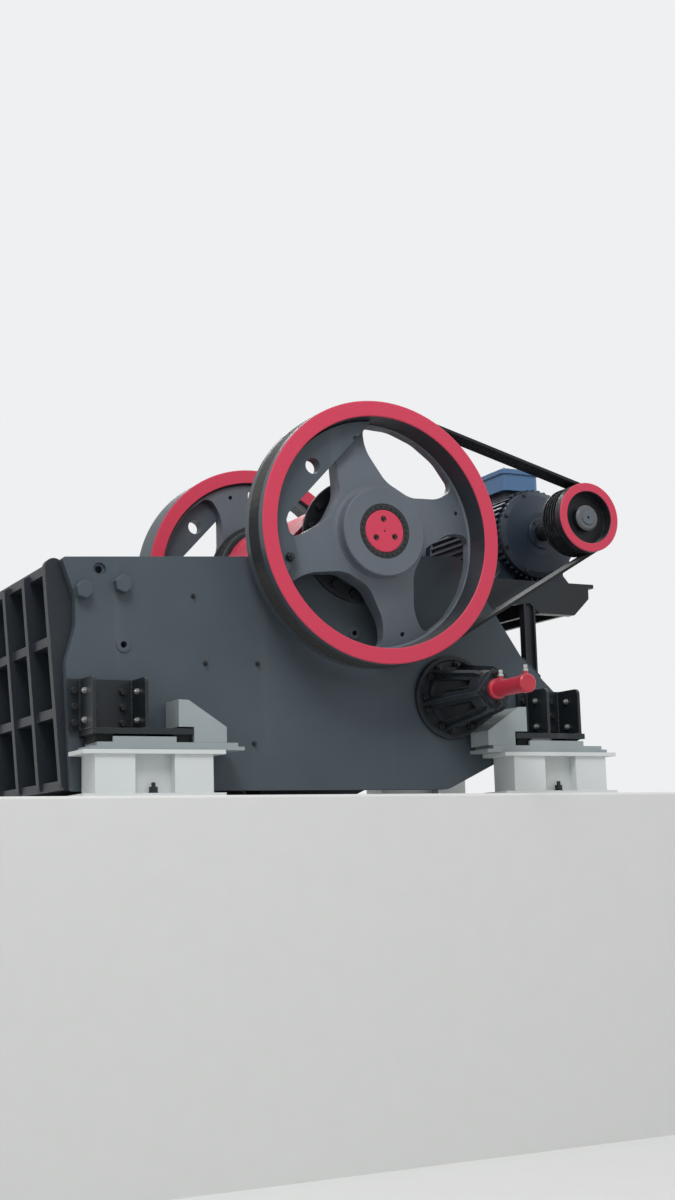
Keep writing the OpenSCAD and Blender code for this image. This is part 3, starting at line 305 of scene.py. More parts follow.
metals = {
    "manganese": {"colour": tone(112, 110, 106), "rough": 0.6, "metallic": 0.55, "grain": 1.6,
                  "grainScale": 55.0, "stain": 0.5, "stainColour": tone(92, 72, 58),
                  "edge": 0.003},
    "steel": {"colour": tone(168, 170, 172), "rough": 0.34, "metallic": 0.9, "grain": 0.12,
              "grainScale": 240.0, "stain": 0.2, "stainColour": tone(112, 104, 94),
              "edge": 0.0012},
    "black_steel": {"colour": tone(38, 40, 43), "rough": 0.42, "metallic": 0.35, "grain": 0.2,
                    "grainScale": 160.0, "stain": 0.15, "stainColour": tone(70, 66, 62),
                    "edge": 0.001},
    "zinc": {"colour": tone(176, 178, 176), "rough": 0.38, "metallic": 0.75, "grain": 0.1,
             "grainScale": 300.0, "stain": 0.25, "stainColour": tone(140, 136, 122),
             "edge": 0.0008},
}


def beltWearAndSheen(nodes, base, look):
    # worn fabric outside the straight runs, made pale enough to paint in the light on the lower
    # run; pale dust with a painted sheen on the lower one's upward faces
    x, y, z = nodes.axes(nodes.place())
    line = axle["z"] + (x - axle["x"]) * look["slope"]
    side = (z - line) * upwards(nodes)
    # worn fabric, its pale colour also painted light on the lower run
    outer = side.ease(0.0, 0.06) * (0.3 + x.ease(0.3, 0.6) * 0.7)
    base = nodes.blend(outer, base, look["wornAndSheenColour"])
    # dust and a painted sheen on the lower run's upward faces
    inner = (0 - side).ease(0.0, 0.06) * (z < line) * x.ease(0.38, 0.44)
    return nodes.blend(inner, base, look["dustAndSheenColour"])


def rubbery(name, look, recolour=None):
    material, nodes = finishNodes(name)
    fine = nodes.noise(120.0, 4.0)
    broad = nodes.noise(7.0, 3.0)
    base = nodes.blend(broad.ease(0.3, 0.7), scaled(look["colour"], 0.8),
                       scaled(look["colour"], 1.25))
    if recolour:
        base = recolour(nodes, base, look)
    dust = upwards(nodes).ease(0.5, 0.95) * fine * look["dust"]
    base = nodes.blend(dust, base, tone(120, 118, 112))
    return finished(material, nodes, Base_Color=base, Roughness=0.72 + (fine - 0.5) * 0.2,
                    Normal=nodes.bump(fine, 0.0006), Specular_IOR_Level=weather["specular"])


finishes = {name: painted(name, look) for name, look in paints.items()}
finishes["wheel_face"] = painted("wheel_face", paints["wheel_paint"], redRim)
finishes["pulley_face"] = painted(
    "pulley_face", {**paints["cast_paint"], "colour": pulleyAreas["colour"]}, redPulley)
finishes.update({name: metal(name, look) for name, look in metals.items()})
finishes["rubber"] = rubbery("rubber", {"colour": tone(30, 32, 34), "dust": 0.4})
# the belts' pale colours are worn fabric and dust, and partly painted light on the lower run
finishes["belt_rubber"] = rubbery("belt_rubber", {
    "colour": tone(24, 27, 31), "dust": 0.1, "wornAndSheenColour": tone(112, 110, 104),
    "dustAndSheenColour": tone(134, 136, 137), "slope": 0.13,
}, beltWearAndSheen)
finishes["shaft_face"] = painted("shaft_face", {**paints["red_paint"], "grain": 0.1},
                                 redShaftEnd)

nodeFinish = {
    "side_plate": "frame_paint", "front_frame": "cast_paint", "rear_frame": "cast_paint",
    "cheek_plates": "manganese", "fixed_jaw_die": "manganese", "bearing_housing": "cast_paint",
    "toggle_plate": "steel", "toggle_block": "cast_paint", "tension_rods": "black_steel",
    "lantern": "cast_paint", "adjuster_ram": "ram_paint", "foot_": "black_paint",
    "rubber_blocks": "rubber", "base_plates": "plate_paint", "hold_down_hooks": "plate_paint",
    "pedestal": "pale_paint", "motor_bracket": "black_paint", "motor_rails": "black_paint",
    "motor_body": "motor_paint", "fan_cover": "motor_paint", "terminal_box": "box_paint",
    "drive_belts": "belt_rubber", "eccentric_shaft": "shaft_face", "flywheel": "wheel_face",
    "lock_ring": "black_steel", "counterweight": "frame_paint", "pitman": "red_paint",
    "swing_jaw_die": "manganese", "motor_pulley": "pulley_face",
}

for nodeName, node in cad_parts.items():
    finishName = next(finish for start, finish in nodeFinish.items()
                      if nodeName.startswith(start))
    node.data.materials.clear()
    node.data.materials.append(finishes[finishName])
print("stage: finishes set on every node")


# Shapes for the small pieces

def drum(bm, radius, low, high, top=None, segments=24):
    # a round or many-sided bar along Z
    bmesh.ops.create_cone(
        bm, cap_ends=True, segments=segments, radius1=radius,
        radius2=radius if top is None else top, depth=high - low,
        matrix=Matrix.Translation((0, 0, (low + high) / 2))
    )


def softened(bm, width):
    # a small flat on every sharp edge
    sharp = [edge for edge in bm.edges
             if edge.is_manifold and edge.calc_face_angle(0) > radians(30)]
    bmesh.ops.bevel(bm, geom=sharp, offset=width, affect="EDGES", segments=1, profile=0.5,
                    material=-1)


def ringOf(bm, radius, thick, matrix, steps, sides):
    # a round wire ring about the matrix's Z
    stand = Matrix.Translation((radius, 0, 0)) @ Matrix.Rotation(pi / 2, 4, "X")
    circle = bmesh.ops.create_circle(bm, segments=sides, radius=thick, matrix=stand)
    edges = {edge for vert in circle["verts"] for edge in vert.link_edges}
    before = set(bm.verts)
    bmesh.ops.spin(bm, geom=circle["verts"] + list(edges), cent=(0, 0, 0), axis=(0, 0, 1),
                   angle=2 * pi, steps=steps, use_merge=True)
    made = list(set(bm.verts) - before) + circle["verts"]
    bmesh.ops.transform(bm, matrix=matrix, verts=[vert for vert in made if vert.is_valid])


def spun(bm, profile, matrix=Matrix.Identity(4), steps=48):
    # a closed ring section [radius, along Z], turned about Z
    verts = [bm.verts.new((radius, 0, along)) for radius, along in profile]
    edges = [bm.edges.new((verts[i - 1], verts[i])) for i in range(len(verts))]
    bmesh.ops.spin(bm, geom=verts + edges, cent=(0, 0, 0), axis=(0, 0, 1), angle=2 * pi,
                   steps=steps, use_merge=True)
    bmesh.ops.transform(bm, matrix=matrix, verts=bm.verts)


def bar(bm, low, high, bevel):
    # a block between two corners, its edges rounded
    verts = bmesh.ops.create_cube(bm, size=1.0)["verts"]
    bmesh.ops.scale(bm, vec=[high[i] - low[i] for i in range(3)], verts=verts)
    bmesh.ops.translate(bm, vec=[(high[i] + low[i]) / 2 for i in range(3)], verts=verts)
    edges = {edge for vert in verts for edge in vert.link_edges}
    bmesh.ops.bevel(bm, geom=list(edges), offset=bevel, affect="EDGES", segments=2,
                    profile=0.5, material=-1)


def seat(at, out, turn=0.0):
    # a place whose Z looks out of the surface
    turned = Vector(out).to_track_quat("Z", "Y").to_matrix().to_4x4()
    return Matrix.Translation(at) @ turned @ Matrix.Rotation(turn, 4, "Z")


def mirrored(spots):
    # spots are (place, outward direction, turn) on the near side
    near = [seat(at, out, turn) for at, out, turn in spots]
    far = [seat((at[0], -at[1], at[2]), (out[0], -out[1], out[2]), turn)
           for at, out, turn in spots]
    return near + far


def hexBolt(look):
    # a washer, a six-sided head with softened corners, and the end of the thread
    bm = bmesh.new()
    if look.get("washer"):
        drum(bm, look["washer"], 0.0, look["washerT"])
    base = look.get("washerT", 0.0)
    drum(bm, look["across"] / sqrt(3), base, base + look["head"], segments=6)
    softened(bm, look["across"] * 0.035)
    if look.get("thread"):
        drum(bm, look["across"] * 0.3, base, base + look["head"] + look["thread"],
             look["across"] * 0.27, 16)
    return bm


def piece(name, bm, body, finish):
    bmesh.ops.recalc_face_normals(bm, faces=bm.faces)
    mesh = bpy.data.meshes.new(name)
    bm.to_mesh(mesh)
    bm.free()
    mesh.materials.append(finishes[finish])
    made = bpy.data.objects.new(name, mesh)
    bpy.context.scene.collection.objects.link(made)
    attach(made, body)
    return made


def setOf(name, template, places, body, finish):
    # one mesh of a small shape repeated at every place
    shape = bpy.data.meshes.new(name + "Shape")
    template.to_mesh(shape)
    template.free()
    bm = bmesh.new()
    for place in places:
        count = len(bm.verts)
        bm.from_mesh(shape)
        bm.verts.ensure_lookup_table()
        bmesh.ops.transform(bm, matrix=place, verts=bm.verts[count:])
    bpy.data.meshes.remove(shape)
    return piece(name, bm, body, finish)


def ring(centre, y, radius, count, first=0.0):
    # spots round an axis that runs across the machine, looking out at the near side
    angles = [first + i * 2 * pi / count for i in range(count)]
    return [((centre["x"] + radius * cos(angle), y, centre["z"] + radius * sin(angle)),
             (0, -1, 0), 0.3 * i) for i, angle in enumerate(angles)]


def onPlate(places, y, turn=0.0, out=-1):
    # spots (x, z) on an upright plate
    return [((x, y, z), (0, out, 0), turn) for x, z in places]


# Bolts and studs through the side plates, bolts of the bearing housings

plateFace = -0.600
plateBolts = {"across": 0.078, "head": 0.046, "places": [(-1.407, 0.986), (-1.214, 1.023)]}
setOf("plateBolts", hexBolt(plateBolts),
      mirrored(onPlate(plateBolts["places"], plateFace, 0.2)), "frame", "frame_paint")

plateStuds = {"radius": 0.0085, "sunk": -0.02, "out": 0.016, "nut": 0.004,
              "places": [(-0.845, 0.986), (-0.785, 0.656), (-0.507, 0.663), (-0.533, 0.268)]}
bm = bmesh.new()
drum(bm, plateStuds["radius"], plateStuds["sunk"], plateStuds["out"],
     plateStuds["radius"] * 0.85, 16)
drum(bm, plateStuds["radius"] * 1.5, plateStuds["sunk"], plateStuds["nut"], segments=6)
setOf("plateStuds", bm, mirrored(onPlate(plateStuds["places"], plateFace, 0.2)),
      "frame", "black_steel")

housingBolts = {"across": 0.036, "head": 0.022, "washer": 0.0235, "washerT": 0.004,
                "radius": 0.287, "face": -0.622, "count": 16, "first": radians(11)}
coverBolts = {"across": 0.024, "head": 0.014, "washer": 0.016, "washerT": 0.003,
              "radius": 0.221, "face": -0.640, "count": 12, "first": radians(4)}
for name, bolts in (("housingBolts", housingBolts), ("coverBolts", coverBolts)):
    setOf(name, hexBolt(bolts),
          mirrored(ring(axle, bolts["face"], bolts["radius"], bolts["count"], bolts["first"])),
          "frame", "black_steel")

# Adjuster: nuts on the lantern's flange and end plate, couplings on the cylinder's ports

adjuster = {"x": 0.603, "z": 0.517, "flangeFace": -0.622, "nutRadius": 0.173,
            "plateFace": -1.040, "plateTurn": radians(40), "plateNut": 0.054,
            "ports": [-1.0843, -1.3063], "portTop": 0.576}
flangeNuts = {"across": 0.034, "head": 0.020, "washer": 0.022, "washerT": 0.004,
              "thread": 0.012}
flangeSpots = []
for k in range(6):
    for offset in (-19, 19):  # one each side of a rib
        angle = radians(60 * k + 48 + offset)
        flangeSpots.append(((adjuster["x"] + adjuster["nutRadius"] * sin(angle),
                             adjuster["flangeFace"],
                             adjuster["z"] + adjuster["nutRadius"] * cos(angle)),
                            (0, -1, 0), 0.4 * k))
setOf("lanternNuts", hexBolt(flangeNuts), mirrored(flangeSpots), "frame", "black_steel")

plateNuts = {"across": 0.028, "head": 0.016, "washer": 0.018, "washerT": 0.003,
             "thread": 0.012}
plateSpots = []
for sideX in (-1, 1):
    for sideZ in (-1, 1):
        localX, localZ = sideX * adjuster["plateNut"], sideZ * adjuster["plateNut"]
        turnC, turnS = cos(adjuster["plateTurn"]), sin(adjuster["plateTurn"])
        plateSpots.append((adjuster["x"] + localX * turnC + localZ * turnS,
                           adjuster["z"] - localX * turnS + localZ * turnC))
setOf("lanternPlateNuts", hexBolt(plateNuts),
      mirrored(onPlate(plateSpots, adjuster["plateFace"], 0.5)), "frame", "black_steel")

coupling = {"hex": 0.0150, "neck": 0.0095, "cap": 0.0115, "capTop": 0.0105,
            "heights": (0.012, 0.018, 0.022, 0.032), "edge": 0.001}
bm = bmesh.new()
hexTop, capLow, neckTop, capHigh = coupling["heights"]
drum(bm, coupling["hex"], 0.0, hexTop, segments=6)
softened(bm, coupling["edge"])
drum(bm, coupling["neck"], hexTop, neckTop)
drum(bm, coupling["cap"], capLow, capHigh, coupling["capTop"])
setOf("portCouplings", bm,
      mirrored([((adjuster["x"], y, adjuster["portTop"]), (0, 0, 1), 0.0)
                for y in adjuster["ports"]]), "frame", "zinc")

# Feet: bright bolts through the upright plates, bolts in the back plate

feet = {"uprights": [(-1.427, -1.411), (-1.172, -1.156), (1.068, 1.084), (1.266, 1.282)],
        "holeY": -0.7025, "holeZ": (0.364, 0.500), "backFace": -0.620,
        "backX": (-1.457, -1.36, -1.22, 1.038, 1.13, 1.215), "backZ": (0.355, 0.430, 0.505)}
uprightBolt = {"across": 0.025, "head": 0.011, "washer": 0.0155, "washerT": 0.003,
               "thread": 0.005}
uprightSpots = []
for low, high in feet["uprights"]:
    for z in feet["holeZ"]:
        uprightSpots.append(((low, feet["holeY"], z), (-1, 0, 0), 0.2))
        uprightSpots.append(((high, feet["holeY"], z), (1, 0, 0), 0.5))
setOf("footBolts", hexBolt(uprightBolt), mirrored(uprightSpots), "frame", "zinc")

backBolt = {"across": 0.030, "head": 0.018, "washer": 0.019, "washerT": 0.003}
setOf("footBackBolts", hexBolt(backBolt),
      mirrored([((x, feet["backFace"], z), (0, -1, 0), x + z)
                for x in feet["backX"] for z in feet["backZ"]]), "frame", "black_steel")

# Pedestals: a black bolt on the lower flange in each set-back bay

pedestals = {"x": 1.130, "y": 0.7155, "half": 0.290, "bay": 0.0967, "flange": 0.020,
             "top": 0.200, "bayOut": 0.070, "boxHalf": 0.0975, "bead": 0.004}
bayBolt = {"across": 0.036, "head": 0.026, "washer": 0.024, "washerT": 0.004,
           "thread": 0.020}
bayPlaces = []
for x in (-pedestals["x"], pedestals["x"]):
    for way in (-1, 1):
        y = -pedestals["y"] + way * pedestals["bayOut"]
        bayPlaces.append(((x, y, pedestals["flange"]), (0, 0, 1), 0.3))
setOf("pedestalBolts", hexBolt(bayBolt), mirrored(bayPlaces), "frame", "black_steel")


# Weld beads at the feet's plates and the pedestals' flanges

def bead(bm, start, end, radius):
    # a rippled weld bead between two points
    start, end = Vector(start), Vector(end)
    run = end - start
    count = max(4, int(run.length / (radius * 1.7)))
    made = bmesh.ops.create_cone(bm, cap_ends=True, segments=6, radius1=radius,
                                 radius2=radius, depth=run.length,
                                 matrix=seat((start + end) / 2, run))
    lengthwise = [edge for edge in {edge for vert in made["verts"] for edge in vert.link_edges}
                  if abs(edge.calc_length() - run.length) < 1e-6]
    cut = bmesh.ops.subdivide_edges(bm, edges=lengthwise, cuts=count, use_grid_fill=True)
    for item in cut["geom_inner"]:
        if isinstance(item, bmesh.types.BMVert):
            share = (item.co - start).dot(run) / run.length_squared
            centre = start + run * share
            item.co = centre + (item.co - centre) * (1.0 + 0.16 * sin(share * count * 2.2))


footBeads = {"radius": 0.005, "bottom": 0.320, "top": 0.556, "outerY": 0.800,
             "innerY": 0.620, "plateY": 0.600, "plateZ": 0.292,
             "plateX": ((-1.427, -0.935), (0.868, 1.300))}
bm = bmesh.new()
for side in (-1, 1):
    outer, inner, plate = (side * footBeads[name] for name in ("outerY", "innerY", "plateY"))
    for low, high in feet["uprights"]:
        for x in (low, high):
            corner = (x, inner, footBeads["bottom"])
            bead(bm, (x, outer, footBeads["bottom"]), corner, footBeads["radius"])
            bead(bm, corner, (x, inner, footBeads["top"]), footBeads["radius"])
    for x0, x1 in footBeads["plateX"]:
        bead(bm, (x0, plate, footBeads["plateZ"]), (x1, plate, footBeads["plateZ"]),
             footBeads["radius"])
piece("footWelds", bm, "frame", "black_paint")

bm = bmesh.new()
for side in (-1, 1):
    for end in (-1, 1):
        centre = end * pedestals["x"]
        for way in (-1, 1):
            y = side * pedestals["y"] + way * pedestals["boxHalf"]
            for x0, x1 in ((-pedestals["half"], -pedestals["bay"]),
                           (pedestals["bay"], pedestals["half"])):
                for z in (pedestals["flange"], pedestals["top"]):
                    bead(bm, (centre + x0, y, z), (centre + x1, y, z), pedestals["bead"])
piece("pedestalWelds", bm, "frame", "pale_paint")

# Cheek plates: low round-headed bolts inside their recesses

cheekBolts = {"radius": 0.021, "crown": 0.016, "head": 0.008, "socket": 0.008,
              "socketZ": (0.006, 0.0085), "seat": -0.540,
              "places": [(-0.9346, 0.852), (-0.6601, 0.852), (-0.7998, 0.325)]}
bm = bmesh.new()
drum(bm, cheekBolts["radius"], 0.0, cheekBolts["head"], cheekBolts["crown"], 20)
drum(bm, cheekBolts["socket"], *cheekBolts["socketZ"], segments=6)
setOf("cheekBolts", bm, mirrored(onPlate(cheekBolts["places"], cheekBolts["seat"], out=1)),
      "frame", "black_steel")

# Wedges that clamp the dies at their upper ends

dieWedges = {"fixed": (-1.270, -1.186), "swing": (-0.500, -0.434), "low": 1.1265,
             "high": 1.152, "halfY": 0.500, "edge": 0.004, "bolts": (-0.36, -0.12, 0.12, 0.36)}
wedgeBolt = {"across": 0.046, "head": 0.026, "washer": 0.030, "washerT": 0.004,
             "thread": 0.014}
for name, body in (("fixed", "frame"), ("swing", "moving_jaw")):
    low, high = dieWedges[name]
    bm = bmesh.new()
    bar(bm, (low, -dieWedges["halfY"], dieWedges["low"]),
        (high, dieWedges["halfY"], dieWedges["high"]), dieWedges["edge"])
    piece(name + "DieWedge", bm, body, "cast_paint")
    setOf(name + "DieWedgeBolts", hexBolt(wedgeBolt),
          [seat(((low + high) / 2, y, dieWedges["high"]), (0, 0, 1), 0.2)
           for y in dieWedges["bolts"]], body, "black_steel")

# Motor: feet, rails, end shield, lifting eye, fan grille, terminal box

motor = {**motorAxle, "front": -0.430, "seat": 1.204, "footY": (-0.260, 0.260),
         "footX": 0.233, "boss": 0.024, "bossH": 0.046, "edge": 0.002}


def motorFeet(z, turn):
    return [seat((motor["x"] + side * motor["footX"], y, z), (0, 0, 1), turn)
            for side in (-1, 1) for y in motor["footY"]]


bm = bmesh.new()
drum(bm, motor["boss"], 0.0, motor["bossH"])
softened(bm, motor["edge"])
setOf("motorFootBosses", bm, motorFeet(motor["seat"], 0.0), "frame", "motor_paint")
footBolt = {"across": 0.030, "head": 0.017, "washer": 0.020, "washerT": 0.003,
            "thread": 0.010}
setOf("motorFootBolts", hexBolt(footBolt), motorFeet(motor["seat"] + motor["bossH"], 0.3),
      "frame", "zinc")

thrustScrew = {"across": 0.027, "head": 0.012, "z": 1.222, "spots": ((1.031, 0.0), (1.055, 0.4))}
setOf("thrustScrewHeads", hexBolt(thrustScrew),
      [seat((x, y, thrustScrew["z"]), (-1, 0, 0), turn)
       for x, turn in thrustScrew["spots"] for y in motor["footY"]], "frame", "zinc")

shieldBolt = {"across": 0.019, "head": 0.011, "washer": 0.013, "washerT": 0.002,
              "back": 0.031, "radius": 0.234, "count": 8, "first": radians(22)}
capScrew = {"across": 0.013, "head": 0.007,
            "back": -0.010, "radius": 0.074, "count": 4, "first": radians(45)}
bearingCap = {"inner": 0.050, "outer": 0.088, "thick": 0.010, "edge": 0.003}


def shieldSet(name, bolt):
    spots = ring(motor, motor["front"] + bolt["back"], bolt["radius"], bolt["count"],
                 bolt["first"])
    setOf(name, hexBolt(bolt), [seat(*spot) for spot in spots], "frame", "black_steel")


shieldSet("shieldBolts", shieldBolt)
bm = bmesh.new()
spun(bm, [(bearingCap["inner"], -0.001), (bearingCap["outer"], -0.001),
          (bearingCap["outer"], bearingCap["thick"] - bearingCap["edge"]),
          (bearingCap["outer"] - bearingCap["edge"], bearingCap["thick"]),
          (bearingCap["inner"], bearingCap["thick"])],
     seat((motor["x"], motor["front"], motor["z"]), (0, -1, 0)))
piece("motorBearingCap", bm, "frame", "motor_paint")
shieldSet("bearingCapScrews", capScrew)

liftingEye = {"y": 0.215, "foot": 1.735, "footR": 0.026, "collar": 1.762, "collarR": 0.022,
              "centre": 1.796, "radius": 0.026, "thick": 0.008}
bm = bmesh.new()
drum(bm, liftingEye["footR"], liftingEye["foot"], liftingEye["collar"], liftingEye["collarR"])
softened(bm, motor["edge"])
bmesh.ops.translate(bm, vec=(motor["x"], liftingEye["y"], 0), verts=bm.verts)
ringOf(bm, liftingEye["radius"], liftingEye["thick"],
       seat((motor["x"], liftingEye["y"], liftingEye["centre"]), (1, 0, 0)), 36, 12)
piece("motorLiftingEye", bm, "frame", "motor_paint")

fanGrille = {"face": 0.5545, "rings": (0.108, 0.128, 0.148, 0.168, 0.188), "wire": 0.0028,
             "bars": 12, "inner": 0.098, "outer": 0.194, "ringOut": 0.003, "barOut": 0.001,
             "shadow": 0.0008}
bm = bmesh.new()
for radius in fanGrille["rings"]:
    ringOf(bm, radius, fanGrille["wire"],
           seat((motor["x"], fanGrille["face"] + fanGrille["ringOut"], motor["z"]),
                (0, 1, 0)), 48, 6)
middle = (fanGrille["inner"] + fanGrille["outer"]) / 2
for i in range(fanGrille["bars"]):
    angle = 2 * pi * i / fanGrille["bars"]
    direction = Vector((cos(angle), 0, sin(angle)))
    centre = Vector((motor["x"], fanGrille["face"] + fanGrille["barOut"], motor["z"]))
    bmesh.ops.create_cone(bm, cap_ends=True, segments=6, radius1=fanGrille["wire"],
                          radius2=fanGrille["wire"],
                          depth=fanGrille["outer"] - fanGrille["inner"],
                          matrix=seat(centre + direction * middle, direction))
piece("fanGrille", bm, "frame", "motor_paint")
bm = bmesh.new()
spun(bm, [(fanGrille["inner"], -0.001), (fanGrille["outer"], -0.001),
          (fanGrille["outer"], fanGrille["shadow"]), (fanGrille["inner"], fanGrille["shadow"])],
     seat((motor["x"], fanGrille["face"], motor["z"]), (0, 1, 0)))
piece("fanShadow", bm, "frame", "rubber")

terminalBox = {"top": 1.896, "y": -0.100, "screwX": 0.104, "screwY": (-0.132, 0.0, 0.132),
               "sunk": 0.0005, "glandX": 1.511, "glandZ": 1.826}
lidScrew = {"across": 0.014, "head": 0.006, "washer": 0.010, "washerT": 0.0015}
setOf("lidScrews", hexBolt(lidScrew),
      [seat((motor["x"] + side * terminalBox["screwX"], terminalBox["y"] + y,
             terminalBox["top"] - terminalBox["sunk"]), (0, 0, 1), 0.4)
       for side in (-1, 1) for y in terminalBox["screwY"]], "frame", "zinc")
gland = {"hex": 0.031, "hexZ": (-0.006, 0.010), "edge": 0.0016, "cap": 0.024,
         "capZ": (0.010, 0.020), "capTop": 0.019, "bush": 0.014, "bushZ": (0.018, 0.0225)}
bm = bmesh.new()
drum(bm, gland["hex"], *gland["hexZ"], segments=6)
softened(bm, gland["edge"])
drum(bm, gland["cap"], *gland["capZ"], gland["capTop"])
drum(bm, gland["bush"], *gland["bushZ"])
bmesh.ops.transform(bm, verts=bm.verts, matrix=seat(
    (terminalBox["glandX"], terminalBox["y"], terminalBox["glandZ"]), (1, 0, 0)))
piece("cableGland", bm, "frame", "black_steel")

# Motor bracket: bolts down its seats on the slope of the side plates

bracket = {"slopeX": 0.691, "slopeZ": 1.2802, "bendX": 1.058, "bendZ": 0.747,
           "boltZ": (0.995, 1.045, 1.095), "boltY": -0.547, "seatT": 0.024}
seatBolt = {"across": 0.036, "head": 0.022, "washer": 0.023, "washerT": 0.004}
slope = Vector((bracket["bendX"] - bracket["slopeX"], 0, bracket["bendZ"] - bracket["slopeZ"]))
run = slope.normalized()
outward = Vector((-run.z, 0, run.x))
bracketSpots = []
for z in bracket["boltZ"]:
    share = (bracket["slopeZ"] - z) / (bracket["slopeZ"] - bracket["bendZ"])
    foot = Vector((bracket["slopeX"] + share * (bracket["bendX"] - bracket["slopeX"]),
                   bracket["boltY"], z))
    bracketSpots.append((foot + outward * bracket["seatT"], outward, 0.3))
setOf("bracketBolts", hexBolt(seatBolt), mirrored(bracketSpots), "frame", "black_steel")


# Flywheels and counterweights, in the place of the frame's plainer ones. They are made with
# their axle along Z, seen from outside, and then turned to stand at the machine's sides

def rounded(bm, corners):
    # a flat face through corners (radius, angle, round), the round ones bevelled
    verts = [bm.verts.new((reach * cos(angle), reach * sin(angle), 0))
             for reach, angle, soft in corners]
    bm.faces.new(verts)
    for vert, (reach, angle, soft) in zip(verts, corners):
        if soft:
            first, second = [edge.other_vert(vert).co - vert.co for edge in vert.link_edges]
            bmesh.ops.bevel(bm, geom=[vert], offset=soft / tan(first.angle(second) / 2),
                            affect="VERTICES", segments=8, profile=0.5, material=-1)


def slab(bm, low, high):
    # flat faces become closed slabs from low to high
    bmesh.ops.translate(bm, vec=(0, 0, low), verts=bm.verts)
    made = bmesh.ops.extrude_face_region(bm, geom=list(bm.faces), use_keep_orig=True)
    bmesh.ops.translate(bm, vec=(0, 0, high - low), verts=[
        item for item in made["geom"] if isinstance(item, bmesh.types.BMVert)])


def bore(bm, radius, reach, angle, low, high):
    # a round cutter that stands across the wheel
    bmesh.ops.create_cone(bm, cap_ends=True, segments=40, radius1=radius, radius2=radius,
                          depth=high - low, matrix=Matrix.Translation(
                              (reach * cos(angle), reach * sin(angle), (low + high) / 2)))


def carved(bm, cutter):
    # the shape less the cutter's solids
    made = []
    for source in (bm, cutter):
        bmesh.ops.recalc_face_normals(source, faces=source.faces)
        mesh = bpy.data.meshes.new("carving")
        source.to_mesh(mesh)
        source.free()
        made.append(bpy.data.objects.new("carving", mesh))
        bpy.context.scene.collection.objects.link(made[-1])
    cut = made[0].modifiers.new("cut", "BOOLEAN")
    cut.operation = "DIFFERENCE"
    cut.solver = "EXACT"
    cut.object = made[1]
    bm = bmesh.new()
    bm.from_object(made[0], bpy.context.evaluated_depsgraph_get())
    for item in made:
        mesh = item.data
        bpy.data.objects.remove(item)
        bpy.data.meshes.remove(mesh)
    return bm


# radii and heights of the section, then the windows between the spokes and the spokes' holes
wheel = {"outer": 0.675, "inner": 0.594, "out": 0.887, "back": 0.672, "web": 0.749,
         "webT": 0.050, "hubWeb": 0.815, "hub": 0.230, "bore": 0.1093, "ringR": 0.141,
         "ringDepth": 0.060, "edge": 0.005, "lip": 0.004, "fillet": 0.022, "steps": 160,
         "turn": radians(17), "spokeW": 0.184, "waist": 0.77, "waistRound": 0.190,
         "windowIn": 0.280, "inAngles": (61, 29), "inRound": 0.130,
         "windowOut": 0.578, "outRound": 0.050, "arcAngles": (30, 45, 60), "arcRound": 0.200,
         "boltR": 0.012, "boltAt": 0.525, "clear": 0.01}
grooves = {"count": 5, "pitch": 0.023, "half": 0.0106, "depth": 0.015, "middle": 0.7795}
# the straight inner edge is a chord; steps are the corners at the narrow end
weight = {"outer": 0.584, "chord": 0.417, "lean": radians(29.4), "thick": 0.070,
          "lift": 0.0003, "liftR": 0.041, "liftAt": 0.483, "liftTurn": radians(2),
          "slotR": 0.015, "slotAlong": -0.273, "end": radians(98), "arc": 24,
          "steps": [(0.474, 90, 0.020), (0.480, 78, 0.012), (0.500, 76, 0.012),
                    (0.516, 69, 0.012), (0.507, 65, 0.012)]}


def wheelSection(grooved):
    # rim, hub and a web that thickens towards the hub, as corners (radius, along the axle)
    outer, inner, out, back, web, hubWeb, hub, edge, lip, fillet = (wheel[name] for name in (
        "outer", "inner", "out", "back", "web", "hubWeb", "hub", "edge", "lip", "fillet"))
    behind, recess, curve = web - wheel["webT"], out - wheel["ringDepth"], fillet * 0.3
    section = [(inner, out - lip), (inner + lip, out), (outer - edge, out), (outer, out - edge)]
    if grooved:
        floor = outer - grooves["depth"]
        for i in range(grooves["count"]):
            middle = grooves["middle"] + ((grooves["count"] - 1) / 2 - i) * grooves["pitch"]
            high, low = middle + grooves["half"], middle - grooves["half"]
            section += [(outer, high), (floor, high), (floor, low), (outer, low)]
    return section + [
        (outer, back + edge), (outer - edge, back), (inner + lip, back), (inner - 0.006, behind),
        (hub + fillet, behind), (hub + curve, behind - curve), (hub, behind - fillet),
        (hub, back + 0.002), (wheel["bore"], back + 0.002), (wheel["bore"], recess),
        (wheel["ringR"], recess), (wheel["ringR"], out), (hub - edge, out), (hub, out - edge),
        (hub, hubWeb + fillet), (hub + curve, hubWeb + curve), (hub + fillet, hubWeb),
        (inner - 0.020, web), (inner - 0.008, web + 0.006)]


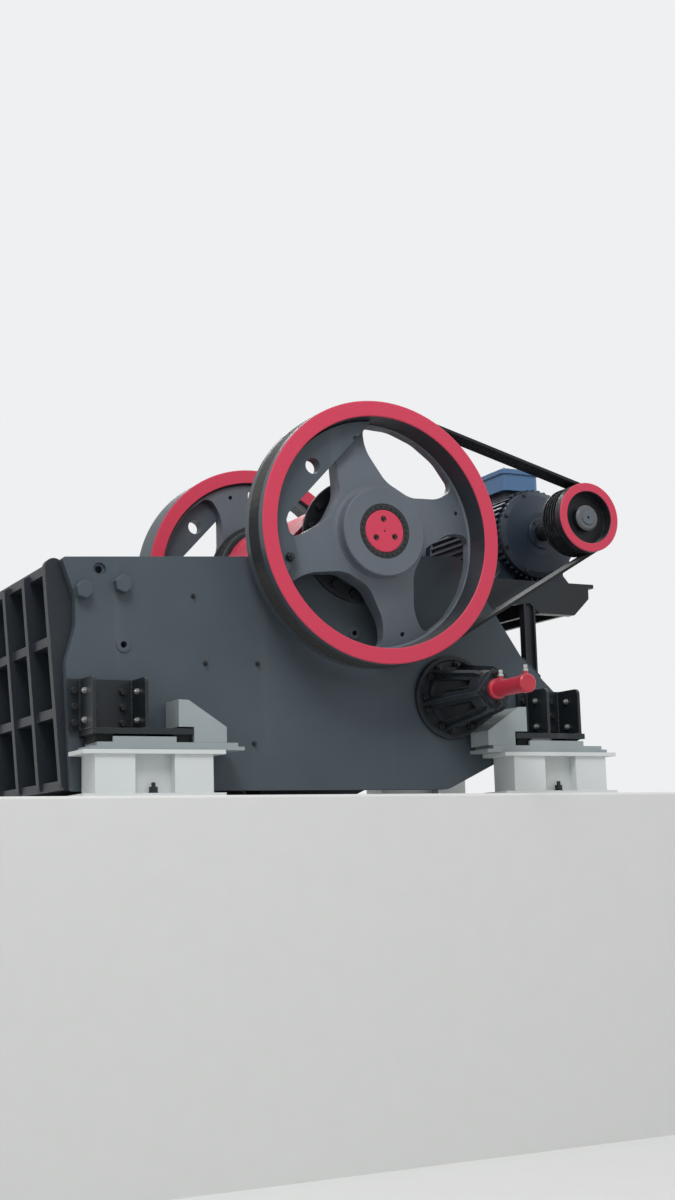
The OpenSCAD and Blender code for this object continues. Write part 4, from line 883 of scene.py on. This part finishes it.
def wheelCasting(grooved):
    # the section spun, then four windows and four holes cut
    bm = bmesh.new()
    spun(bm, wheelSection(grooved), steps=wheel["steps"])
    cutter = bmesh.new()
    low = wheel["web"] - wheel["webT"] - wheel["clear"]
    high = wheel["out"] + wheel["clear"]
    waist = wheel["windowOut"] * wheel["waist"]
    beside = asin(wheel["spokeW"] / 2 / waist)
    corner = beside + radians(1)
    window = [(wheel["windowIn"], radians(angle), wheel["inRound"])
              for angle in wheel["inAngles"]]
    window += [(waist, beside, wheel["waistRound"]),
               (wheel["windowOut"], corner, wheel["outRound"])]
    window += [(wheel["windowOut"] * 1.01, radians(angle), wheel["arcRound"])
               for angle in wheel["arcAngles"]]
    window += [(wheel["windowOut"], pi / 2 - corner, wheel["outRound"]),
               (waist, pi / 2 - beside, wheel["waistRound"])]
    turns = [wheel["turn"] + k * pi / 2 for k in range(4)]
    for turn in turns:
        rounded(cutter, [(reach, angle + turn, soft) for reach, angle, soft in window])
    slab(cutter, low, high)
    for turn in turns:
        bore(cutter, wheel["boltR"], wheel["boltAt"], turn, low, high)
    return carved(bm, cutter)


def weightPlate():
    # a thick segment on the web, with a lifting hole, a notch and a bolt hole
    first = wheel["turn"] + pi / 2
    middle = first + weight["lean"]
    start = middle - acos(weight["chord"] / weight["outer"])
    run = first + weight["end"] - start
    bm = bmesh.new()
    rounded(bm, [(weight["outer"], start + run * i / weight["arc"], 0)
                 for i in range(weight["arc"] + 1)]
            + [(reach, first + radians(angle), soft) for reach, angle, soft in weight["steps"]])
    low = wheel["web"] + weight["lift"]
    high = low + weight["thick"]
    slab(bm, low, high)
    cutter = bmesh.new()
    notch = Vector((weight["chord"], weight["slotAlong"]))
    notchTurn = middle + notch.angle_signed(Vector((1, 0)))
    for radius, reach, angle in ((weight["liftR"], weight["liftAt"], middle + weight["liftTurn"]),
                                 (weight["slotR"], notch.length, notchTurn),
                                 (wheel["boltR"], wheel["boltAt"], first + pi / 2)):
        bore(cutter, radius, reach, angle, low - wheel["clear"], high + wheel["clear"])
    return carved(bm, cutter)


nearWheel = Matrix.Translation((axle["x"], 0, axle["z"])) @ Matrix.Rotation(pi / 2, 4, "X")
farWheel = Matrix.Scale(-1, 4, (0, 1, 0)) @ nearWheel
for side, place in (("near", nearWheel), ("far", farWheel)):
    for name, bm, finish in (("flywheel", wheelCasting(side == "near"), "wheel_face"),
                             ("counterweight", weightPlate(), "frame_paint")):
        bmesh.ops.transform(bm, matrix=place, verts=bm.verts)
        made = piece(name + "Cast" + side.capitalize(), bm, "rotor", finish)
        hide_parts(name + "_" + side)
print("stage: flywheels and counterweights made")

# Rotor: small dark screws round the locking rings, a bolt where a counterweight meets its spoke

lockScrews = {"radius": 0.1255, "face": -0.8868, "count": 26, "head": 0.0066,
              "headTop": 0.0060, "headZ": (0.0, 0.0042), "socket": 0.0030,
              "socketZ": (0.004, 0.0046)}
bm = bmesh.new()
drum(bm, lockScrews["head"], *lockScrews["headZ"], lockScrews["headTop"], 12)
drum(bm, lockScrews["socket"], *lockScrews["socketZ"], segments=6)
setOf("lockScrews", bm,
      mirrored(ring(axle, lockScrews["face"], lockScrews["radius"], lockScrews["count"])),
      "rotor", "black_steel")

weightBolt = {"across": 0.036, "head": 0.022, "washer": 0.024, "washerT": 0.004,
              "thread": 0.010, "face": -0.8193}
boltTurn = wheel["turn"] + pi
setOf("weightBolts", hexBolt(weightBolt),
      mirrored([((axle["x"] + wheel["boltAt"] * cos(boltTurn), weightBolt["face"],
                  axle["z"] + wheel["boltAt"] * sin(boltTurn)), (0, -1, 0), 0.3)]),
      "rotor", "black_steel")

hubWasher = {"face": -0.8730, "inner": 0.0085, "outer": 0.038, "thick": 0.006,
             "edge": 0.0015}
bm = bmesh.new()
spun(bm, [(hubWasher["inner"], -0.001), (hubWasher["outer"], -0.001),
          (hubWasher["outer"], hubWasher["thick"] - hubWasher["edge"]),
          (hubWasher["outer"] - hubWasher["edge"], hubWasher["thick"]),
          (hubWasher["inner"], hubWasher["thick"])],
     seat((motor["x"], hubWasher["face"], motor["z"]), (0, -1, 0)))
piece("pulleyHubWasher", bm, "motor_rotor", "wheel_paint")


# Stage: a pale podium under the machine and a pale floor before it

stage = {"podiumX": (-7.0, 9.0), "podiumY": (-1.02, 9.0), "drop": 1.73, "edge": 0.012,
         "floorHalf": 60.0, "colour": tone(214, 215, 214), "rough": 0.75}
paleStage, nodes = finishNodes("stagePale")
mottled = nodes.blend(nodes.noise(9.0, 4.0), scaled(stage["colour"], 0.97),
                      scaled(stage["colour"], 1.02))
finished(paleStage, nodes, Base_Color=mottled, Roughness=stage["rough"])


def stagePiece(name, bm):
    mesh = bpy.data.meshes.new(name)
    bm.to_mesh(mesh)
    bm.free()
    mesh.materials.append(paleStage)
    made = bpy.data.objects.new(name, mesh)
    bpy.context.scene.collection.objects.link(made)


bm = bmesh.new()
bar(bm, (stage["podiumX"][0], stage["podiumY"][0], -stage["drop"] - 0.02),
    (stage["podiumX"][1], stage["podiumY"][1], 0.0), stage["edge"])
stagePiece("podium", bm)
bm = bmesh.new()
bmesh.ops.create_grid(bm, x_segments=1, y_segments=1, size=stage["floorHalf"],
                      matrix=Matrix.Translation((0, 0, -stage["drop"])))
stagePiece("floor", bm)

# Light: an even pale surround and three soft lamps

light = {"sky": (0.95, 0.95, 0.95, 1.0), "ground": (0.55, 0.55, 0.55, 1.0), "strength": 0.74,
         "backdrop": (0.86, 0.87, 0.88, 1.0)}
world = bpy.data.worlds.new("surround")
bpy.context.scene.world = world
world.use_nodes = True
nodes = Nodes(world.node_tree)
lookUp = nodes.axes(nodes.add("ShaderNodeTexCoord", output="Generated"))[2]
even = nodes.blend(lookUp.ease(-0.3, 0.8), light["ground"], light["sky"])
seen = nodes.add("ShaderNodeLightPath", output="Is Camera Ray") \
    + nodes.add("ShaderNodeLightPath", output="Is Glossy Ray") \
    + nodes.add("ShaderNodeLightPath", output="Is Transmission Ray")
lit = nodes.add("ShaderNodeBackground", None, {"Color": even, "Strength": light["strength"]})
backdrop = nodes.add("ShaderNodeBackground", None,
                     {"Color": light["backdrop"], "Strength": 1.0})
surround = nodes.add("ShaderNodeMixShader", None, {0: seen, 1: lit, 2: backdrop})
nodes.add("ShaderNodeOutputWorld", None, {"Surface": surround})


def lamp(name, at, aim, size, power):
    data = bpy.data.lights.new(name, "AREA")
    data.shape = "DISK"
    data.size = size
    data.energy = power
    made = bpy.data.objects.new(name, data)
    made.matrix_world = seat(at, Vector(at) - Vector(aim))
    bpy.context.scene.collection.objects.link(made)


lamp("keyLamp", (-3.6, -5.6, 7.8), (0, 0, 0.8), 4.0, 490)
lamp("fillLamp", (8.0, -3.0, 6.0), (0.3, 0, 1.0), 6.0, 150)
lamp("backLamp", (2.5, 6.5, 6.0), (0, 0, 1.0), 4.0, 260)

# Camera: where the photograph was taken from, below the machine's own floor

camera = {"at": (-3.7592, -7.7855, -0.3082), "aim": (0.0883, -0.3299, 1.0561),
          "lens": 48.0, "sensor": 36.0, "clip": 200.0, "roll": radians(1.604)}
data = bpy.data.cameras.new("camera")
data.lens = camera["lens"]
data.sensor_width = camera["sensor"]
data.clip_end = camera["clip"]
made = bpy.data.objects.new("camera", data)
sight = Vector(camera["aim"]) - Vector(camera["at"])
looking = sight.to_track_quat("-Z", "Y").to_matrix().to_4x4()
rolled = looking @ Matrix.Rotation(-camera["roll"], 4, "Z")
made.matrix_world = Matrix.Translation(camera["at"]) @ rolled
bpy.context.scene.collection.objects.link(made)
bpy.context.scene.camera = made
bpy.context.scene.view_settings.view_transform = "Standard"
print("stage: floor, light and camera set")
